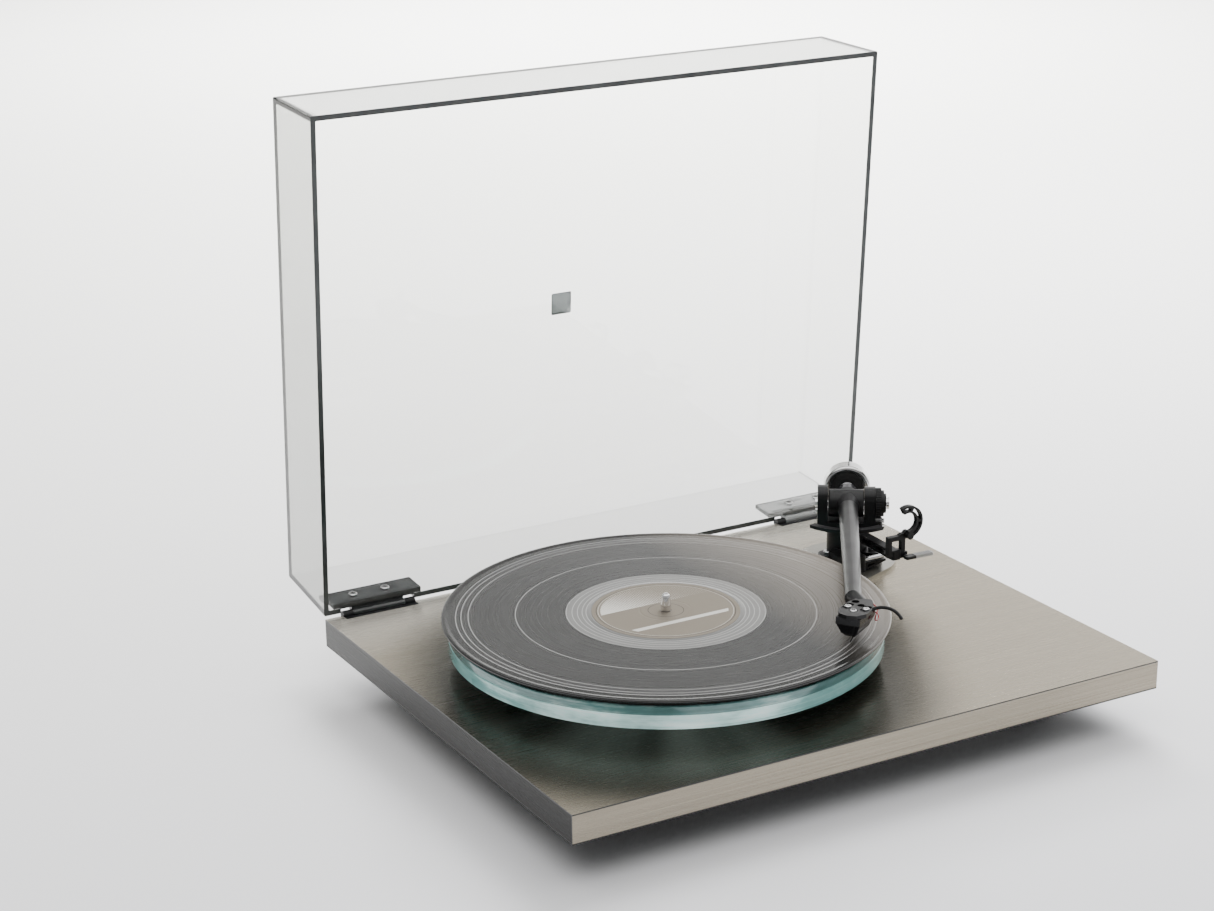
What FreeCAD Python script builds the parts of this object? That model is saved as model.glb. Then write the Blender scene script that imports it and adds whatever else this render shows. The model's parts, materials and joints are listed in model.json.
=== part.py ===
"""Turntable record player: plinth on three feet, glass platter, pivoted tonearm and hinged clear lid.

Every shape is drawn in the deck frame: millimetres, +X right, +Y to the rear, +Z up, with the origin at
the centre of the plinth's top surface. save() moves it to the part's own frame, whose origin is on the
floor under the middle of the whole object with its lid open.
"""
import FreeCAD, Part
import math
import os

from FreeCAD import Vector

# ---- driving dimensions, mm ----
PLINTH_W, PLINTH_D, PLINTH_T = 447.0, 359.0, 20.0
SKIN_T = 0.9                      # laminate on the top, bottom and edges
FOOT_H = 28.0
FLOOR_Z = -PLINTH_T - FOOT_H
CENTRE_Y = -34.2                  # the plinth's centre, in the part's own frame

SPINDLE_X, SPINDLE_Y = -52.0, 0.0
RECORD_R, LABEL_R = 150.8, 50.0
GLASS_R, GLASS_HOLE_R = 146.5, 3.7
MAT_R = 144.5
BRACE_T = 2.5
SUB_Z0, SUB_Z1 = 5.2, 11.3        # subplatter, then the stack that lies on it
GLASS_SPLIT_Z, GLASS_Z1 = 20.8, 26.9
MAT_Z1 = 30.4
GROOVE_Z, RIM_Z = 32.4, 32.8
SPINDLE_R, SPINDLE_NECK_R = 3.6, 3.2
SPINDLE_FREE_Z, SPINDLE_TAPER_Z, SPINDLE_TOP_Z = 33.0, 37.0, 44.8
SHAFT_R, SHAFT_BORE_R = 3.0, 3.04
BELT_TRACK_R, PULLEY_TRACK_R = 48.0, 6.4
BELT_T, BELT_GAP = 1.6, 0.2
BELT_Z0, BELT_Z1 = 6.3, 9.9
MOTOR_X, MOTOR_Y = -127.0, 85.0
MOTOR_R, MOTOR_SHAFT_R = 25.0, 1.5

ARM_X, ARM_Y, ARM_Z = 153.6, 84.2, 45.5   # where the tonearm's two bearing axes cross
ARM_DEG, PARK_DEG = -123.6, -92.2         # plan direction of the tube as shown, and in its rest
ARM_SLOPE_DEG = 1.3
EFFECTIVE_L, OFFSET_DEG, OVERLINE = 237.0, -23.9, -2.1
TUBE_R0, TUBE_R1, TUBE_L = 7.1, 5.7, 198.0
PLATE_Z0, PLATE_Z1 = 1.0, 3.6             # headshell plate, above the tube's axis
SCREW_SEAT_Z = 2.8                        # where its screw heads sit
CLIP_AT = 68.0                            # from the pivot to the tonearm rest
PILLAR_R, PILLAR_Z1 = 15.0, 26.6
LIFT_R = 36.0                             # radius of the lift platform's arc
CLIP_PIN = (8.8, 40.2)                    # outward of the parked tube, and height
CLIP_OPEN_DEG = 40.0
CUE_OUT, CUE_Z, CUE_R = 7.2, 24.2, 1.5
REST_Z0, REST_Z1 = 22.4, 28.8             # the rest's level arm
BIAS_Y, BIAS_Z, BIAS_R = 57.0, 10.6, 1.6

# points of the headshell: ahead of the cartridge screws, and to the outer side
STYLUS_AHEAD, SCREW_SPACING = 9.5, 12.7
TUBE_HOLES = [(-9.6, -5.0), (-4.4, 1.2)]
LEAD_PINS = (-5.4, -1.8, 1.8, 5.4)
HEAD_OUTLINE = [(-17.5, -6.4), (-9.0, -9.0), (0, -9.8), (9.0, -9.6), (14.8, -6.6), (17.2, -0.6), (15.6, 6.2),
                (9.4, 10.4), (0, 10.6), (-8, 8.4), (-17.5, 3.4)]
FINGER_R = 1.15

LID_W, LID_D, LID_H, LID_WALL = 446.8, 357.2, 67.4, 3.6
LID_CORNER_R, LID_INNER_CORNER_R = 1.2, 0.8
LID_GAP = 0.5                             # between the closed lid's rim and the plinth
LID_OPEN_DEG = 86.35
LID_INSET_X, LID_INSET_FRONT, LID_INSET_REAR = 2.2, 2.3, 2.8
HINGE_Y, HINGE_Z, HINGE_X = 180.4, -0.28, 182.0
PIN_R, PIN_BORE_R = 1.5, 1.53
BARREL_R, BARREL_HALF = 3.2, 20.0
LEAF_X0, LEAF_X1, LEAF_H = 148.0, 216.0, 20.0
LEAF_SCREWS, LEAF_SCREW_Z = (172.0, 197.0), 10.0
SWITCH_X, SWITCH_Y = -180.0, -160.0
INLET_X, INLET_Z = 118.0, -10.0

FOOT_SPOTS = {"front_left": (-170.0, -113.0), "front_right": (170.0, -113.0), "rear": (0.0, 125.0)}
PAD_R, PAD_PROUD, PAD_DEEP = 16.0, 3.0, 3.0
SCREW_HEAD_R, SCREW_HEAD_H, SCREW_R, SCREW_L = 3.4, 2.2, 1.9, 12.0

X_AXIS, Y_AXIS, Z_AXIS = Vector(1, 0, 0), Vector(0, 1, 0), Vector(0, 0, 1)


def around(x, y, distance, degrees):
    """The point at a distance and plan direction from another."""
    return x + distance * math.cos(math.radians(degrees)), y + distance * math.sin(math.radians(degrees))


# ---- places worked out from them ----
ARM_SCREWS = [around(ARM_X, ARM_Y, 19.5, a) for a in (190, 310, 70)]
BRACE_SCREWS = [(SPINDLE_X - 22, SPINDLE_Y + 10), (SPINDLE_X + 8, SPINDLE_Y - 23), (60.0, 46.0)]
COVER_SCREWS = [(MOTOR_X + dx, MOTOR_Y + dy) for dx in (-37, 37) for dy in (-37, 37)]
UNDER_SCREWS = list(FOOT_SPOTS.values()) + COVER_SCREWS
TOP_SCREWS = BRACE_SCREWS + ARM_SCREWS
HEAD_SCREWS = [(0, -SCREW_SPACING / 2), (0, SCREW_SPACING / 2), (6.2, 0)]
LIFT_SPOT = around(ARM_X, ARM_Y, 30.0, -118.0)
PARK_Z = ARM_Z + CLIP_AT * math.sin(math.radians(ARM_SLOPE_DEG))


# ---- small tools ----
def save(name, shape):
    """Writes one node, moved from the deck frame to the part's own frame."""
    shape = shape.copy()
    shape.translate(Vector(0, CENTRE_Y, -FLOOR_Z))
    solids = shape.Solids
    if not solids or not all(s.isValid() for s in solids):
        raise ValueError("bad shape: " + name)
    out = solids[0] if len(solids) == 1 else Part.makeCompound(solids)
    out.exportStep("parts/" + name + ".step")
    print(name, len(solids), round(sum(s.Volume for s in solids), 1))


def box(x0, x1, y0, y1, z0, z1):
    return Part.makeBox(x1 - x0, y1 - y0, z1 - z0, Vector(x0, y0, z0))


def rod(x, y, z0, z1, r):
    return Part.makeCylinder(r, z1 - z0, Vector(x, y, z0))


def bar(start, end, r0, r1=None):
    """A round bar, or a cone, from one point to another."""
    start, end = Vector(*start), Vector(*end)
    if r1 is None or abs(r0 - r1) < 1e-6:
        return Part.makeCylinder(r0, (end - start).Length, start, end - start)
    return Part.makeCone(r0, r1, (end - start).Length, start, end - start)


def ring(x, y, z0, z1, r, hole):
    return rod(x, y, z0, z1, r).cut(rod(x, y, z0 - 1, z1 + 1, hole))


def turned(points, x, y):
    """A solid of revolution about the vertical through x, y from (radius, height) points."""
    loop = points + points[:1]
    wire = Part.makePolygon([Vector(x + r, y, z) for r, z in loop])
    return Part.Face(wire).revolve(Vector(x, y, 0), Z_AXIS, 360)


def prism(points, z0, z1):
    """An upright prism over a closed outline in plan."""
    wire = Part.makePolygon([Vector(x, y, z0) for x, y in points] + [Vector(*points[0], z0)])
    return Part.Face(wire).extrude(Vector(0, 0, z1 - z0))


def side_prism(points, x0, x1):
    """A prism along X over a closed outline of (y, z) points."""
    wire = Part.makePolygon([Vector(x0, y, z) for y, z in points] + [Vector(x0, *points[0])])
    return Part.Face(wire).extrude(Vector(x1 - x0, 0, 0))


def rib_along_x(points, y0, y1):
    """A prism along Y over a closed outline of (x, z) points."""
    wire = Part.makePolygon([Vector(x, y0, z) for x, z in points] + [Vector(points[0][0], y0, points[0][1])])
    return Part.Face(wire).extrude(Vector(0, y1 - y0, 0))


def rounded_outline(x0, x1, y0, y1, z, r):
    """A rectangle with rounded corners, as one wire."""
    edges = []
    corners = [(x1 - r, y1 - r, 0), (x0 + r, y1 - r, 90), (x0 + r, y0 + r, 180), (x1 - r, y0 + r, 270)]
    ends = []
    for cx, cy, a in corners:
        pts = [Vector(cx + r * math.cos(math.radians(a + t)), cy + r * math.sin(math.radians(a + t)), z)
               for t in (0, 45, 90)]
        edges.append(Part.Arc(*pts).toShape())
        ends.append((pts[0], pts[2]))
    for i in range(4):
        edges.append(Part.LineSegment(ends[i][1], ends[(i + 1) % 4][0]).toShape())
    return Part.Wire(Part.__sortEdges__(edges))


def rounded_box(x0, x1, y0, y1, z0, z1, r):
    return Part.Face(rounded_outline(x0, x1, y0, y1, z0, r)).extrude(Vector(0, 0, z1 - z0))


def stadium(a, b, r, z0, z1):
    """A plate with round ends over the line from a to b."""
    length = math.hypot(b[0] - a[0], b[1] - a[1])
    plate = box(0, length, -r, r, z0, z1).fuse(rod(0, 0, z0, z1, r)).fuse(rod(length, 0, z0, z1, r))
    plate = plate.removeSplitter()
    plate.rotate(Vector(), Z_AXIS, math.degrees(math.atan2(b[1] - a[1], b[0] - a[0])))
    plate.translate(Vector(a[0], a[1], 0))
    return plate


def fuse_all(shapes):
    out = shapes[0]
    for s in shapes[1:]:
        out = out.fuse(s)
    return out.removeSplitter()


def softened(shape, r, pick):
    """Rounds the edges that pick() accepts, or as many of them as will go."""
    edges = [e for e in shape.Edges if pick(e)]
    try:
        out = shape.makeFillet(r, edges)
        if out.isValid() and out.Solids:
            return out
    except Exception:
        pass
    return shape


def circle_at_z(z):
    return lambda e: isinstance(e.Curve, Part.Circle) and max(abs(e.BoundBox.ZMin - z), e.BoundBox.ZLength) < 0.01


def pan_screw(x, y, z, up, r=SCREW_R, length=SCREW_L, head_r=SCREW_HEAD_R, head_h=SCREW_HEAD_H):
    """A cross-head screw at its head's seat: up is +1 when the head is above its seat."""
    head = rod(x, y, min(z, z + up * head_h), max(z, z + up * head_h), head_r)
    head = softened(head, 0.8, circle_at_z(z + up * head_h))
    shank = rod(x, y, min(z, z - up * length), max(z, z - up * length), r)
    recess = [box(x - a, x + a, y - b, y + b, z + up * head_h - 0.9, z + up * head_h + 0.9)
              for a, b in ((head_r * 0.6, 0.35), (0.35, head_r * 0.6))]
    return fuse_all([head, shank]).cut(fuse_all(recess))


def drilled(shape, spots, r, z0, z1):
    for x, y in spots:
        shape = shape.cut(rod(x, y, z0, z1, r))
    return shape


# ---- plinth ----
def plinth_cuts():
    """Everything that passes through the plinth, as one solid."""
    cuts = [rod(SPINDLE_X, SPINDLE_Y, -21, 1, 8.05), rod(MOTOR_X, MOTOR_Y, -21, 1, 9.0),
            rod(ARM_X, ARM_Y, -21, 1, 5.0)]
    for side in (-1, 1):
        x = side * HINGE_X
        cuts.append(box(x - 28, x + 28, 172.0, 190.0, -14.0, 1.0))
        for dx in (-24, 24):
            cuts.append(bar((x + dx, 190, -10), (x + dx, 163, -10), SCREW_R + 0.05))
    cuts += [rod(x, y, -21, -SKIN_T - 4, SCREW_R + 0.05) for x, y in UNDER_SCREWS]
    cuts += [rod(x, y, -12, 1, SCREW_R + 0.05) for x, y in TOP_SCREWS]
    cuts += [box(SWITCH_X - 10.5, SWITCH_X + 10.5, SWITCH_Y - 6.5, SWITCH_Y + 6.5, -21, -9.0)]
    cuts += [bar((INLET_X, 160, INLET_Z), (INLET_X, 181, INLET_Z), 5.6)]
    return fuse_all(cuts)


def make_plinth():
    half_w, half_d, t = PLINTH_W / 2, PLINTH_D / 2, SKIN_T
    cuts = plinth_cuts()
    panels = {
        "plinth_core": box(-half_w + t, half_w - t, -half_d + t, half_d - t, -PLINTH_T + t, -t),
        "top_skin": box(-half_w, half_w, -half_d, half_d, -t, 0),
        "bottom_skin": box(-half_w, half_w, -half_d, half_d, -PLINTH_T, -PLINTH_T + t),
        "front_edge_band": box(-half_w, half_w, -half_d, -half_d + t, -PLINTH_T + t, -t),
        "rear_edge_band": box(-half_w, half_w, half_d - t, half_d, -PLINTH_T + t, -t),
        "left_edge_band": box(-half_w, -half_w + t, -half_d + t, half_d - t, -PLINTH_T + t, -t),
        "right_edge_band": box(half_w - t, half_w, -half_d + t, half_d - t, -PLINTH_T + t, -t),
    }
    for name, panel in panels.items():
        save(name, panel.cut(cuts))


def make_braces():
    a, b = (SPINDLE_X, SPINDLE_Y), (ARM_X, ARM_Y)
    top = stadium(a, b, 36.0, 0, BRACE_T)
    top = drilled(top, [a], 8.05, -1, 4)
    top = drilled(top, [b], 5.0, -1, 4)
    top = drilled(top, BRACE_SCREWS + ARM_SCREWS, SCREW_R + 0.05, -1, 4)
    save("top_brace", top)
    bottom = stadium(a, b, 24.0, -PLINTH_T - BRACE_T, -PLINTH_T)
    bottom = drilled(bottom, [a], 8.05, -25, -19)
    bottom = drilled(bottom, [b], 5.0, -25, -19)
    save("bottom_brace", bottom)


def make_fasteners():
    """All the pan-head screws of the plinth are the same size, so they share one node."""
    screws = [pan_screw(x, y, BRACE_T, 1) for x, y in BRACE_SCREWS]
    screws += [pan_screw(x, y, FLOOR_Z + 12, -1, length=24.0) for x, y in FOOT_SPOTS.values()]
    screws += [pan_screw(x, y, -PLINTH_T - 2.0, -1) for x, y in COVER_SCREWS]
    for side in (-1, 1):
        for dx in (-24, 24):
            s = pan_screw(0, 0, 0, 1, length=17.0)
            s.rotate(Vector(), X_AXIS, -90)
            s.translate(Vector(side * HINGE_X + dx, 181.6, -10))
            screws.append(s)
    save("plinth_screws", Part.makeCompound(screws))


def make_feet():
    pads = []
    for name, (x, y) in FOOT_SPOTS.items():
        low = FLOOR_Z + PAD_PROUD
        foot = turned([(0, low), (19.0, low), (20.0, low + 1.0), (22.6, -PLINTH_T - 3), (24.0, -PLINTH_T - 1.5),
                       (24.0, -PLINTH_T), (0, -PLINTH_T)], x, y)
        foot = foot.cut(rod(x, y, FLOOR_Z, low + PAD_DEEP, PAD_R))
        foot = foot.cut(rod(x, y, FLOOR_Z, FLOOR_Z + 12, SCREW_HEAD_R + 0.6))
        foot = foot.cut(rod(x, y, FLOOR_Z, 0, SCREW_R + 0.1))
        save("foot_" + name, foot)
        pad = rod(x, y, FLOOR_Z, low + PAD_DEEP, PAD_R)
        pads.append(softened(pad, 1.0, circle_at_z(FLOOR_Z)))
    save("foot_pads", Part.makeCompound(pads))


def make_services():
    """The power switch's bezel, the power inlet and the gland of the signal lead."""
    bezel = rounded_box(SWITCH_X - 14, SWITCH_X + 14, SWITCH_Y - 10, SWITCH_Y + 10, -PLINTH_T - 1.5, -PLINTH_T, 2)
    bezel = bezel.fuse(box(SWITCH_X - 10.4, SWITCH_X + 10.4, SWITCH_Y - 6.4, SWITCH_Y + 6.4, -PLINTH_T, -9.5))
    bezel = bezel.cut(box(SWITCH_X - 8.4, SWITCH_X + 8.4, SWITCH_Y - 4.4, SWITCH_Y + 4.4, -22, -12.0))
    save("switch_bezel", bezel.removeSplitter())
    rocker = bar((SWITCH_X, SWITCH_Y - 4.0, -17.0), (SWITCH_X, SWITCH_Y + 4.0, -17.0), 3.0)
    wedge = [(-7.0, -20.2), (-6.2, -24.2), (0, -22.6), (7.0, -22.6), (7.2, -20.2), (3.0, -17.0), (-3.0, -17.0)]
    face = rib_along_x([(SWITCH_X + x, z) for x, z in wedge], SWITCH_Y - 4.0, SWITCH_Y + 4.0)
    save("power_switch", fuse_all([rocker, face]))
    inlet = bar((INLET_X, 166, INLET_Z), (INLET_X, 179.5, INLET_Z), 5.5)
    inlet = inlet.fuse(bar((INLET_X, 179.5, INLET_Z), (INLET_X, 181.0, INLET_Z), 7.0))
    inlet = inlet.cut(bar((INLET_X, 171, INLET_Z), (INLET_X, 182.0, INLET_Z), 2.75))
    inlet = inlet.fuse(bar((INLET_X, 170, INLET_Z), (INLET_X, 179.0, INLET_Z), 1.0))
    save("power_inlet", inlet.removeSplitter())
    gland_z = -PLINTH_T - BRACE_T
    gland = turned([(3.1, gland_z - 9), (4.6, gland_z - 9), (7.5, gland_z - 3), (8.5, gland_z - 2),
                    (8.5, gland_z), (3.1, gland_z)], ARM_X, ARM_Y)
    save("lead_gland", gland)


# ---- main bearing, drive and platter ----
def make_bearing():
    x, y = SPINDLE_X, SPINDLE_Y
    housing = rod(x, y, -36, BRACE_T, 8.0).fuse(rod(x, y, BRACE_T, BRACE_T + 2.0, 14.0))
    housing = softened(housing.removeSplitter(), 1.2, circle_at_z(-36))
    save("bearing_housing", housing.cut(rod(x, y, -33, 6, SHAFT_BORE_R)))
    nut = Part.Face(Part.makePolygon([Vector(*around(x, y, 14.0, 60 * i), -28.5) for i in range(7)]))
    nut = nut.extrude(Vector(0, 0, 28.5 - PLINTH_T - BRACE_T))
    save("bearing_nut", nut.cut(rod(x, y, -40, 0, 8.0)))


def make_drive():
    x, y = MOTOR_X, MOTOR_Y
    can = turned([(0, FLOOR_Z + 6), (23.5, FLOOR_Z + 6), (MOTOR_R, FLOOR_Z + 7.5), (MOTOR_R, -PLINTH_T - 1.5),
                  (23.5, -PLINTH_T), (8.5, -PLINTH_T), (8.5, -PLINTH_T + 4), (0, -PLINTH_T + 4)], x, y)
    save("motor_can", can.cut(rod(x, y, -38, 0, MOTOR_SHAFT_R + 0.05)))
    save("motor_shaft", rod(x, y, -37.5, 10.2, MOTOR_SHAFT_R))
    track = PULLEY_TRACK_R
    save("motor_pulley", turned([(MOTOR_SHAFT_R, 3.0), (5.0, 3.0), (5.0, 4.8), (7.8, 4.8), (7.8, 5.6), (track, 6.0),
                                 (track, 10.2), (7.6, 10.6), (MOTOR_SHAFT_R, 10.6)], x, y).cut(
        rod(x, y, 10.2, 11, 1.6)))
    tray = rounded_box(x - 41, x + 41, y - 41, y + 41, FLOOR_Z + 3.5, -PLINTH_T, 8)
    tray = tray.cut(rounded_box(x - 28.5, x + 28.5, y - 28.5, y + 28.5, FLOOR_Z + 5.5, 0, 6))
    for cx, cy in COVER_SCREWS:
        tray = tray.cut(rod(cx, cy, FLOOR_Z, -PLINTH_T - 2.0, SCREW_HEAD_R + 0.5))
        tray = tray.cut(rod(cx, cy, FLOOR_Z, 0, SCREW_R + 0.1))
    save("motor_cover", tray)
    save("drive_belt", belt_loop(BELT_T + BELT_GAP).cut(belt_loop(BELT_GAP)))


def belt_loop(offset):
    """The region inside a belt that stands this far off both pulleys' tracks, as a prism."""
    big, small = BELT_TRACK_R + offset, PULLEY_TRACK_R + offset
    dx, dy = MOTOR_X - SPINDLE_X, MOTOR_Y - SPINDLE_Y
    along = math.degrees(math.atan2(dy, dx))
    lean = math.degrees(math.acos((big - small) / math.hypot(dx, dy)))
    corners = [around(SPINDLE_X, SPINDLE_Y, big, along - lean), around(MOTOR_X, MOTOR_Y, small, along - lean),
               around(MOTOR_X, MOTOR_Y, small, along + lean), around(SPINDLE_X, SPINDLE_Y, big, along + lean)]
    body = prism(corners, BELT_Z0, BELT_Z1)
    return fuse_all([body, rod(SPINDLE_X, SPINDLE_Y, BELT_Z0, BELT_Z1, big),
                     rod(MOTOR_X, MOTOR_Y, BELT_Z0, BELT_Z1, small)])


def make_platter():
    x, y = SPINDLE_X, SPINDLE_Y
    track = BELT_TRACK_R
    save("subplatter", turned([(SPINDLE_R, SUB_Z0), (49.5, SUB_Z0), (49.5, 5.8), (track, 6.2), (track, 10.0),
                               (49.5, 10.4), (49.5, SUB_Z1), (SPINDLE_R, SUB_Z1)], x, y))
    tip = SPINDLE_TOP_Z
    neck_z = GROOVE_Z - 0.2
    profile = [(0, -32.6), (1.2, -32.6), (SHAFT_R, -30.8), (SHAFT_R, 4.9), (SPINDLE_R, SUB_Z0), (SPINDLE_R, neck_z),
               (SPINDLE_NECK_R, neck_z), (SPINDLE_NECK_R, SPINDLE_FREE_Z), (SPINDLE_R, SPINDLE_FREE_Z),
               (SPINDLE_R, SPINDLE_TAPER_Z), (2.95, tip - 2.2), (2.5, tip - 0.9), (1.7, tip - 0.2), (0, tip)]
    save("spindle", turned(profile, x, y))
    r, c = GLASS_R, 0.5
    layers = {"platter_lower_glass": (SUB_Z1, GLASS_SPLIT_Z), "platter_upper_glass": (GLASS_SPLIT_Z, GLASS_Z1)}
    for name, (z0, z1) in layers.items():
        save(name, turned([(GLASS_HOLE_R, z0), (r - c, z0), (r, z0 + c), (r, z1 - c), (r - c, z1),
                           (GLASS_HOLE_R, z1)], x, y))
    save("felt_mat", ring(x, y, GLASS_Z1, MAT_Z1, MAT_R, GLASS_HOLE_R + 0.2))
    low, bead = MAT_Z1, RECORD_R
    save("record", turned([(3.65, low), (52.0, low), (53.5, low + 0.3), (145.0, low + 0.3), (146.5, low),
                           (bead - 0.5, low), (bead, low + 0.6), (bead, RIM_Z - 0.7), (bead - 0.8, RIM_Z),
                           (bead - 2.2, RIM_Z), (bead - 4.2, GROOVE_Z), (55.0, GROOVE_Z), (53.5, GROOVE_Z + 0.2),
                           (3.65, GROOVE_Z + 0.2)], x, y))
    save("record_label", ring(x, y, GROOVE_Z + 0.2, GROOVE_Z + 0.35, LABEL_R, 3.8))


# ---- tonearm: shapes in the arm's own frame, +X along the tube from the crossing of the bearing axes ----
def on_arm(shape, direction=ARM_DEG, slope=ARM_SLOPE_DEG, z=ARM_Z):
    shape = shape.copy()
    shape.rotate(Vector(), Y_AXIS, -slope)
    shape.rotate(Vector(), Z_AXIS, direction)
    shape.translate(Vector(ARM_X, ARM_Y, z))
    return shape


def in_headshell(h, s):
    """A headshell point, h ahead of the cartridge screws and s to the outer side, in the arm's frame."""
    a = math.radians(OFFSET_DEG)
    ahead = STYLUS_AHEAD - h
    return (EFFECTIVE_L - ahead * math.cos(a) - s * math.sin(a),
            OVERLINE - ahead * math.sin(a) + s * math.cos(a))


def headshell_prism(points, z0, z1):
    return prism([in_headshell(h, s) for h, s in points], z0, z1)


def level_z(z, u):
    """The height over the tube's axis, in the arm's frame, of a deck height at u along the tube."""
    return (z - ARM_Z - u * math.sin(math.radians(ARM_SLOPE_DEG))) / math.cos(math.radians(ARM_SLOPE_DEG))


def make_arm():
    hub = Part.makeCylinder(10.2, 25.8, Vector(0, -14.3, 0), Y_AXIS)
    hub = softened(hub, 1.0, lambda e: isinstance(e.Curve, Part.Circle))
    flare = bar((4, 0, 0), (15, 0, 0), 9.4, TUBE_R0)
    tube = bar((14, 0, 0), (TUBE_L + 4, 0, 0), TUBE_R0, TUBE_R1)
    rear = bar((0, 0, 0), (-13, 0, 0), 9.0, 8.4)
    circle = Part.Wire(Part.Circle(Vector(TUBE_L + 3, 0, 0), X_AXIS, TUBE_R1).toShape())
    flat = Part.Ellipse(Vector(0, 0, 0), 4.9, 1.1)
    flat_wire = Part.Wire(flat.toShape())
    flat_wire.rotate(Vector(), X_AXIS, 90)
    flat_wire.rotate(Vector(), Z_AXIS, 90)
    flat_wire.translate(Vector(TUBE_L + 16, 4.6, 2.3))
    blend = Part.makeLoft([circle, flat_wire], True, True)
    plate = headshell_prism(HEAD_OUTLINE, PLATE_Z0, PLATE_Z1)
    plate = softened(plate, 2.2, lambda e: e.BoundBox.ZLength > 2)
    arm = fuse_all([hub, rear, flare, tube, blend, plate])
    slots = []
    for h, s in HEAD_SCREWS:
        if h:
            slots += [rod(*in_headshell(h, s), -9, 9, 1.35), rod(*in_headshell(h, s), SCREW_SEAT_Z, 9, 2.9)]
        else:
            a, b = in_headshell(h - 2.6, s), in_headshell(h + 2.6, s)
            slots += [stadium(a, b, 1.35, -9, 9), stadium(a, b, 2.9, SCREW_SEAT_Z, 9)]
    for h, s in TUBE_HOLES:
        slots.append(rod(*in_headshell(h, s), 1.6, 9, 2.6))
    arm = arm.cut(fuse_all(slots))
    arm = arm.cut(bar((0, -15, 0), (0, -10, 0), 2.05)).cut(bar((0, 12, 0), (0, 7, 0), 2.05))
    arm = arm.cut(bar((-14, 0, 0), (-6, 0, 0), 6.0))
    arm = arm.cut(Part.makeCompound(lead_shapes()))
    save("arm_tube", on_arm(arm))

    save("rear_stub", on_arm(fuse_all([bar((-6, 0, 0), (-13, 0, 0), 6.0), bar((-13, 0, 0), (-54, 0, 0), 6.6),
                                       bar((-22, 0, 0), (-23.5, 0, 0), 8.0),
                                       bar((-54, 0, 0), (-55.5, 0, 0), 6.6, 5.4)])))
    save("finger_lift", on_arm(finger_lift().cut(headshell_prism(HEAD_OUTLINE, PLATE_Z0 - 1, PLATE_Z1 + 1))))
    make_cartridge()


def finger_lift():
    """A thin rod out of the headshell's side, arched up and then down to a tip for the finger."""
    root, crest, tip = in_headshell(0.2, 8.6), in_headshell(-2.2, 20.5), in_headshell(0.4, 31.0)
    z = (PLATE_Z0 + PLATE_Z1) / 2
    bow = Part.Arc(Vector(*root, z), Vector(*crest, z + 3.4), Vector(*tip, z - 1.0)).toShape()
    path = Part.Wire(bow)
    start = Part.Circle(Vector(*root, z), bow.tangentAt(bow.FirstParameter), FINGER_R).toShape()
    rod_shape = path.makePipeShell([Part.Wire(start)], True, True)
    return rod_shape.fuse(Part.makeSphere(FINGER_R, Vector(*tip, z - 1.0))).removeSplitter()


def lofted(sections):
    """Stacks (z, h0, h1, s) rectangles of the headshell frame into one ruled solid."""
    wires = []
    for z, h0, h1, s in sections:
        pts = [Vector(*in_headshell(h, v), z) for h, v in ((h0, -s), (h1, -s), (h1, s), (h0, s), (h0, -s))]
        wires.append(Part.makePolygon(pts))
    return Part.makeLoft(wires, True, True)


def make_cartridge():
    top = PLATE_Z0
    tip_u = EFFECTIVE_L
    body = lofted([(top, -10.5, 15.0, 8.4), (top - 4.6, -10.5, 15.6, 8.4), (top - 5.2, -10.5, 15.0, 8.0),
                   (top - 9.6, -9.5, 13.6, 6.0), (top - 11.6, -8.0, 13.0, 5.4)])
    holes = [rod(*in_headshell(h, s), top - 4.0, top + 1, 1.3) for h, s in HEAD_SCREWS]
    body = body.cut(fuse_all(holes))
    pins = [bar((*in_headshell(-10.4, s), top - 4), (*in_headshell(-13.4, s), top - 4), 0.6) for s in LEAD_PINS]
    save("cartridge_body", on_arm(fuse_all([body] + pins)))
    low = top - 11.6
    assembly = lofted([(low, -5.0, 12.6, 4.6), (low - 2.2, -4.0, 10.6, 3.4), (low - 3.2, -2.0, 6.0, 2.4)])
    tip = in_headshell(STYLUS_AHEAD, 0)
    tip_z = level_z(RIM_Z + 0.35, tip_u)
    cantilever = bar((*in_headshell(3.0, 0), low - 2.6), (*tip, tip_z + 0.9), 0.5, 0.3)
    diamond = bar((*tip, tip_z + 0.95), (*tip, tip_z), 0.35, 0.08)
    save("stylus_assembly", on_arm(fuse_all([assembly, cantilever, diamond])))
    screws = [pan_screw(*in_headshell(h, s), SCREW_SEAT_Z, 1, r=1.25, length=5.6, head_r=2.3, head_h=1.3)
              for h, s in HEAD_SCREWS]
    save("cartridge_screws", on_arm(Part.makeCompound(screws)))
    save("cartridge_leads", on_arm(Part.makeCompound(lead_shapes())))


def lead_shapes():
    """The four leads from the cartridge's pins into the end of the tube, in the arm's frame."""
    leads = []
    z = PLATE_Z0 - 4
    for s in LEAD_PINS:
        a = Vector(*in_headshell(-14.0, s), z)
        m = Vector(*in_headshell(-17.0, s * 1.5), z - 1.2)
        c = Vector(*in_headshell(-20.5, s * 0.45), z + 1.6)
        path = Part.Wire(Part.Arc(a, m, c).toShape())
        start = Part.Wire(Part.Circle(a, path.Edges[0].tangentAt(path.Edges[0].FirstParameter), 0.55).toShape())
        leads.append(path.makePipeShell([start], True, True))
    return leads


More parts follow.
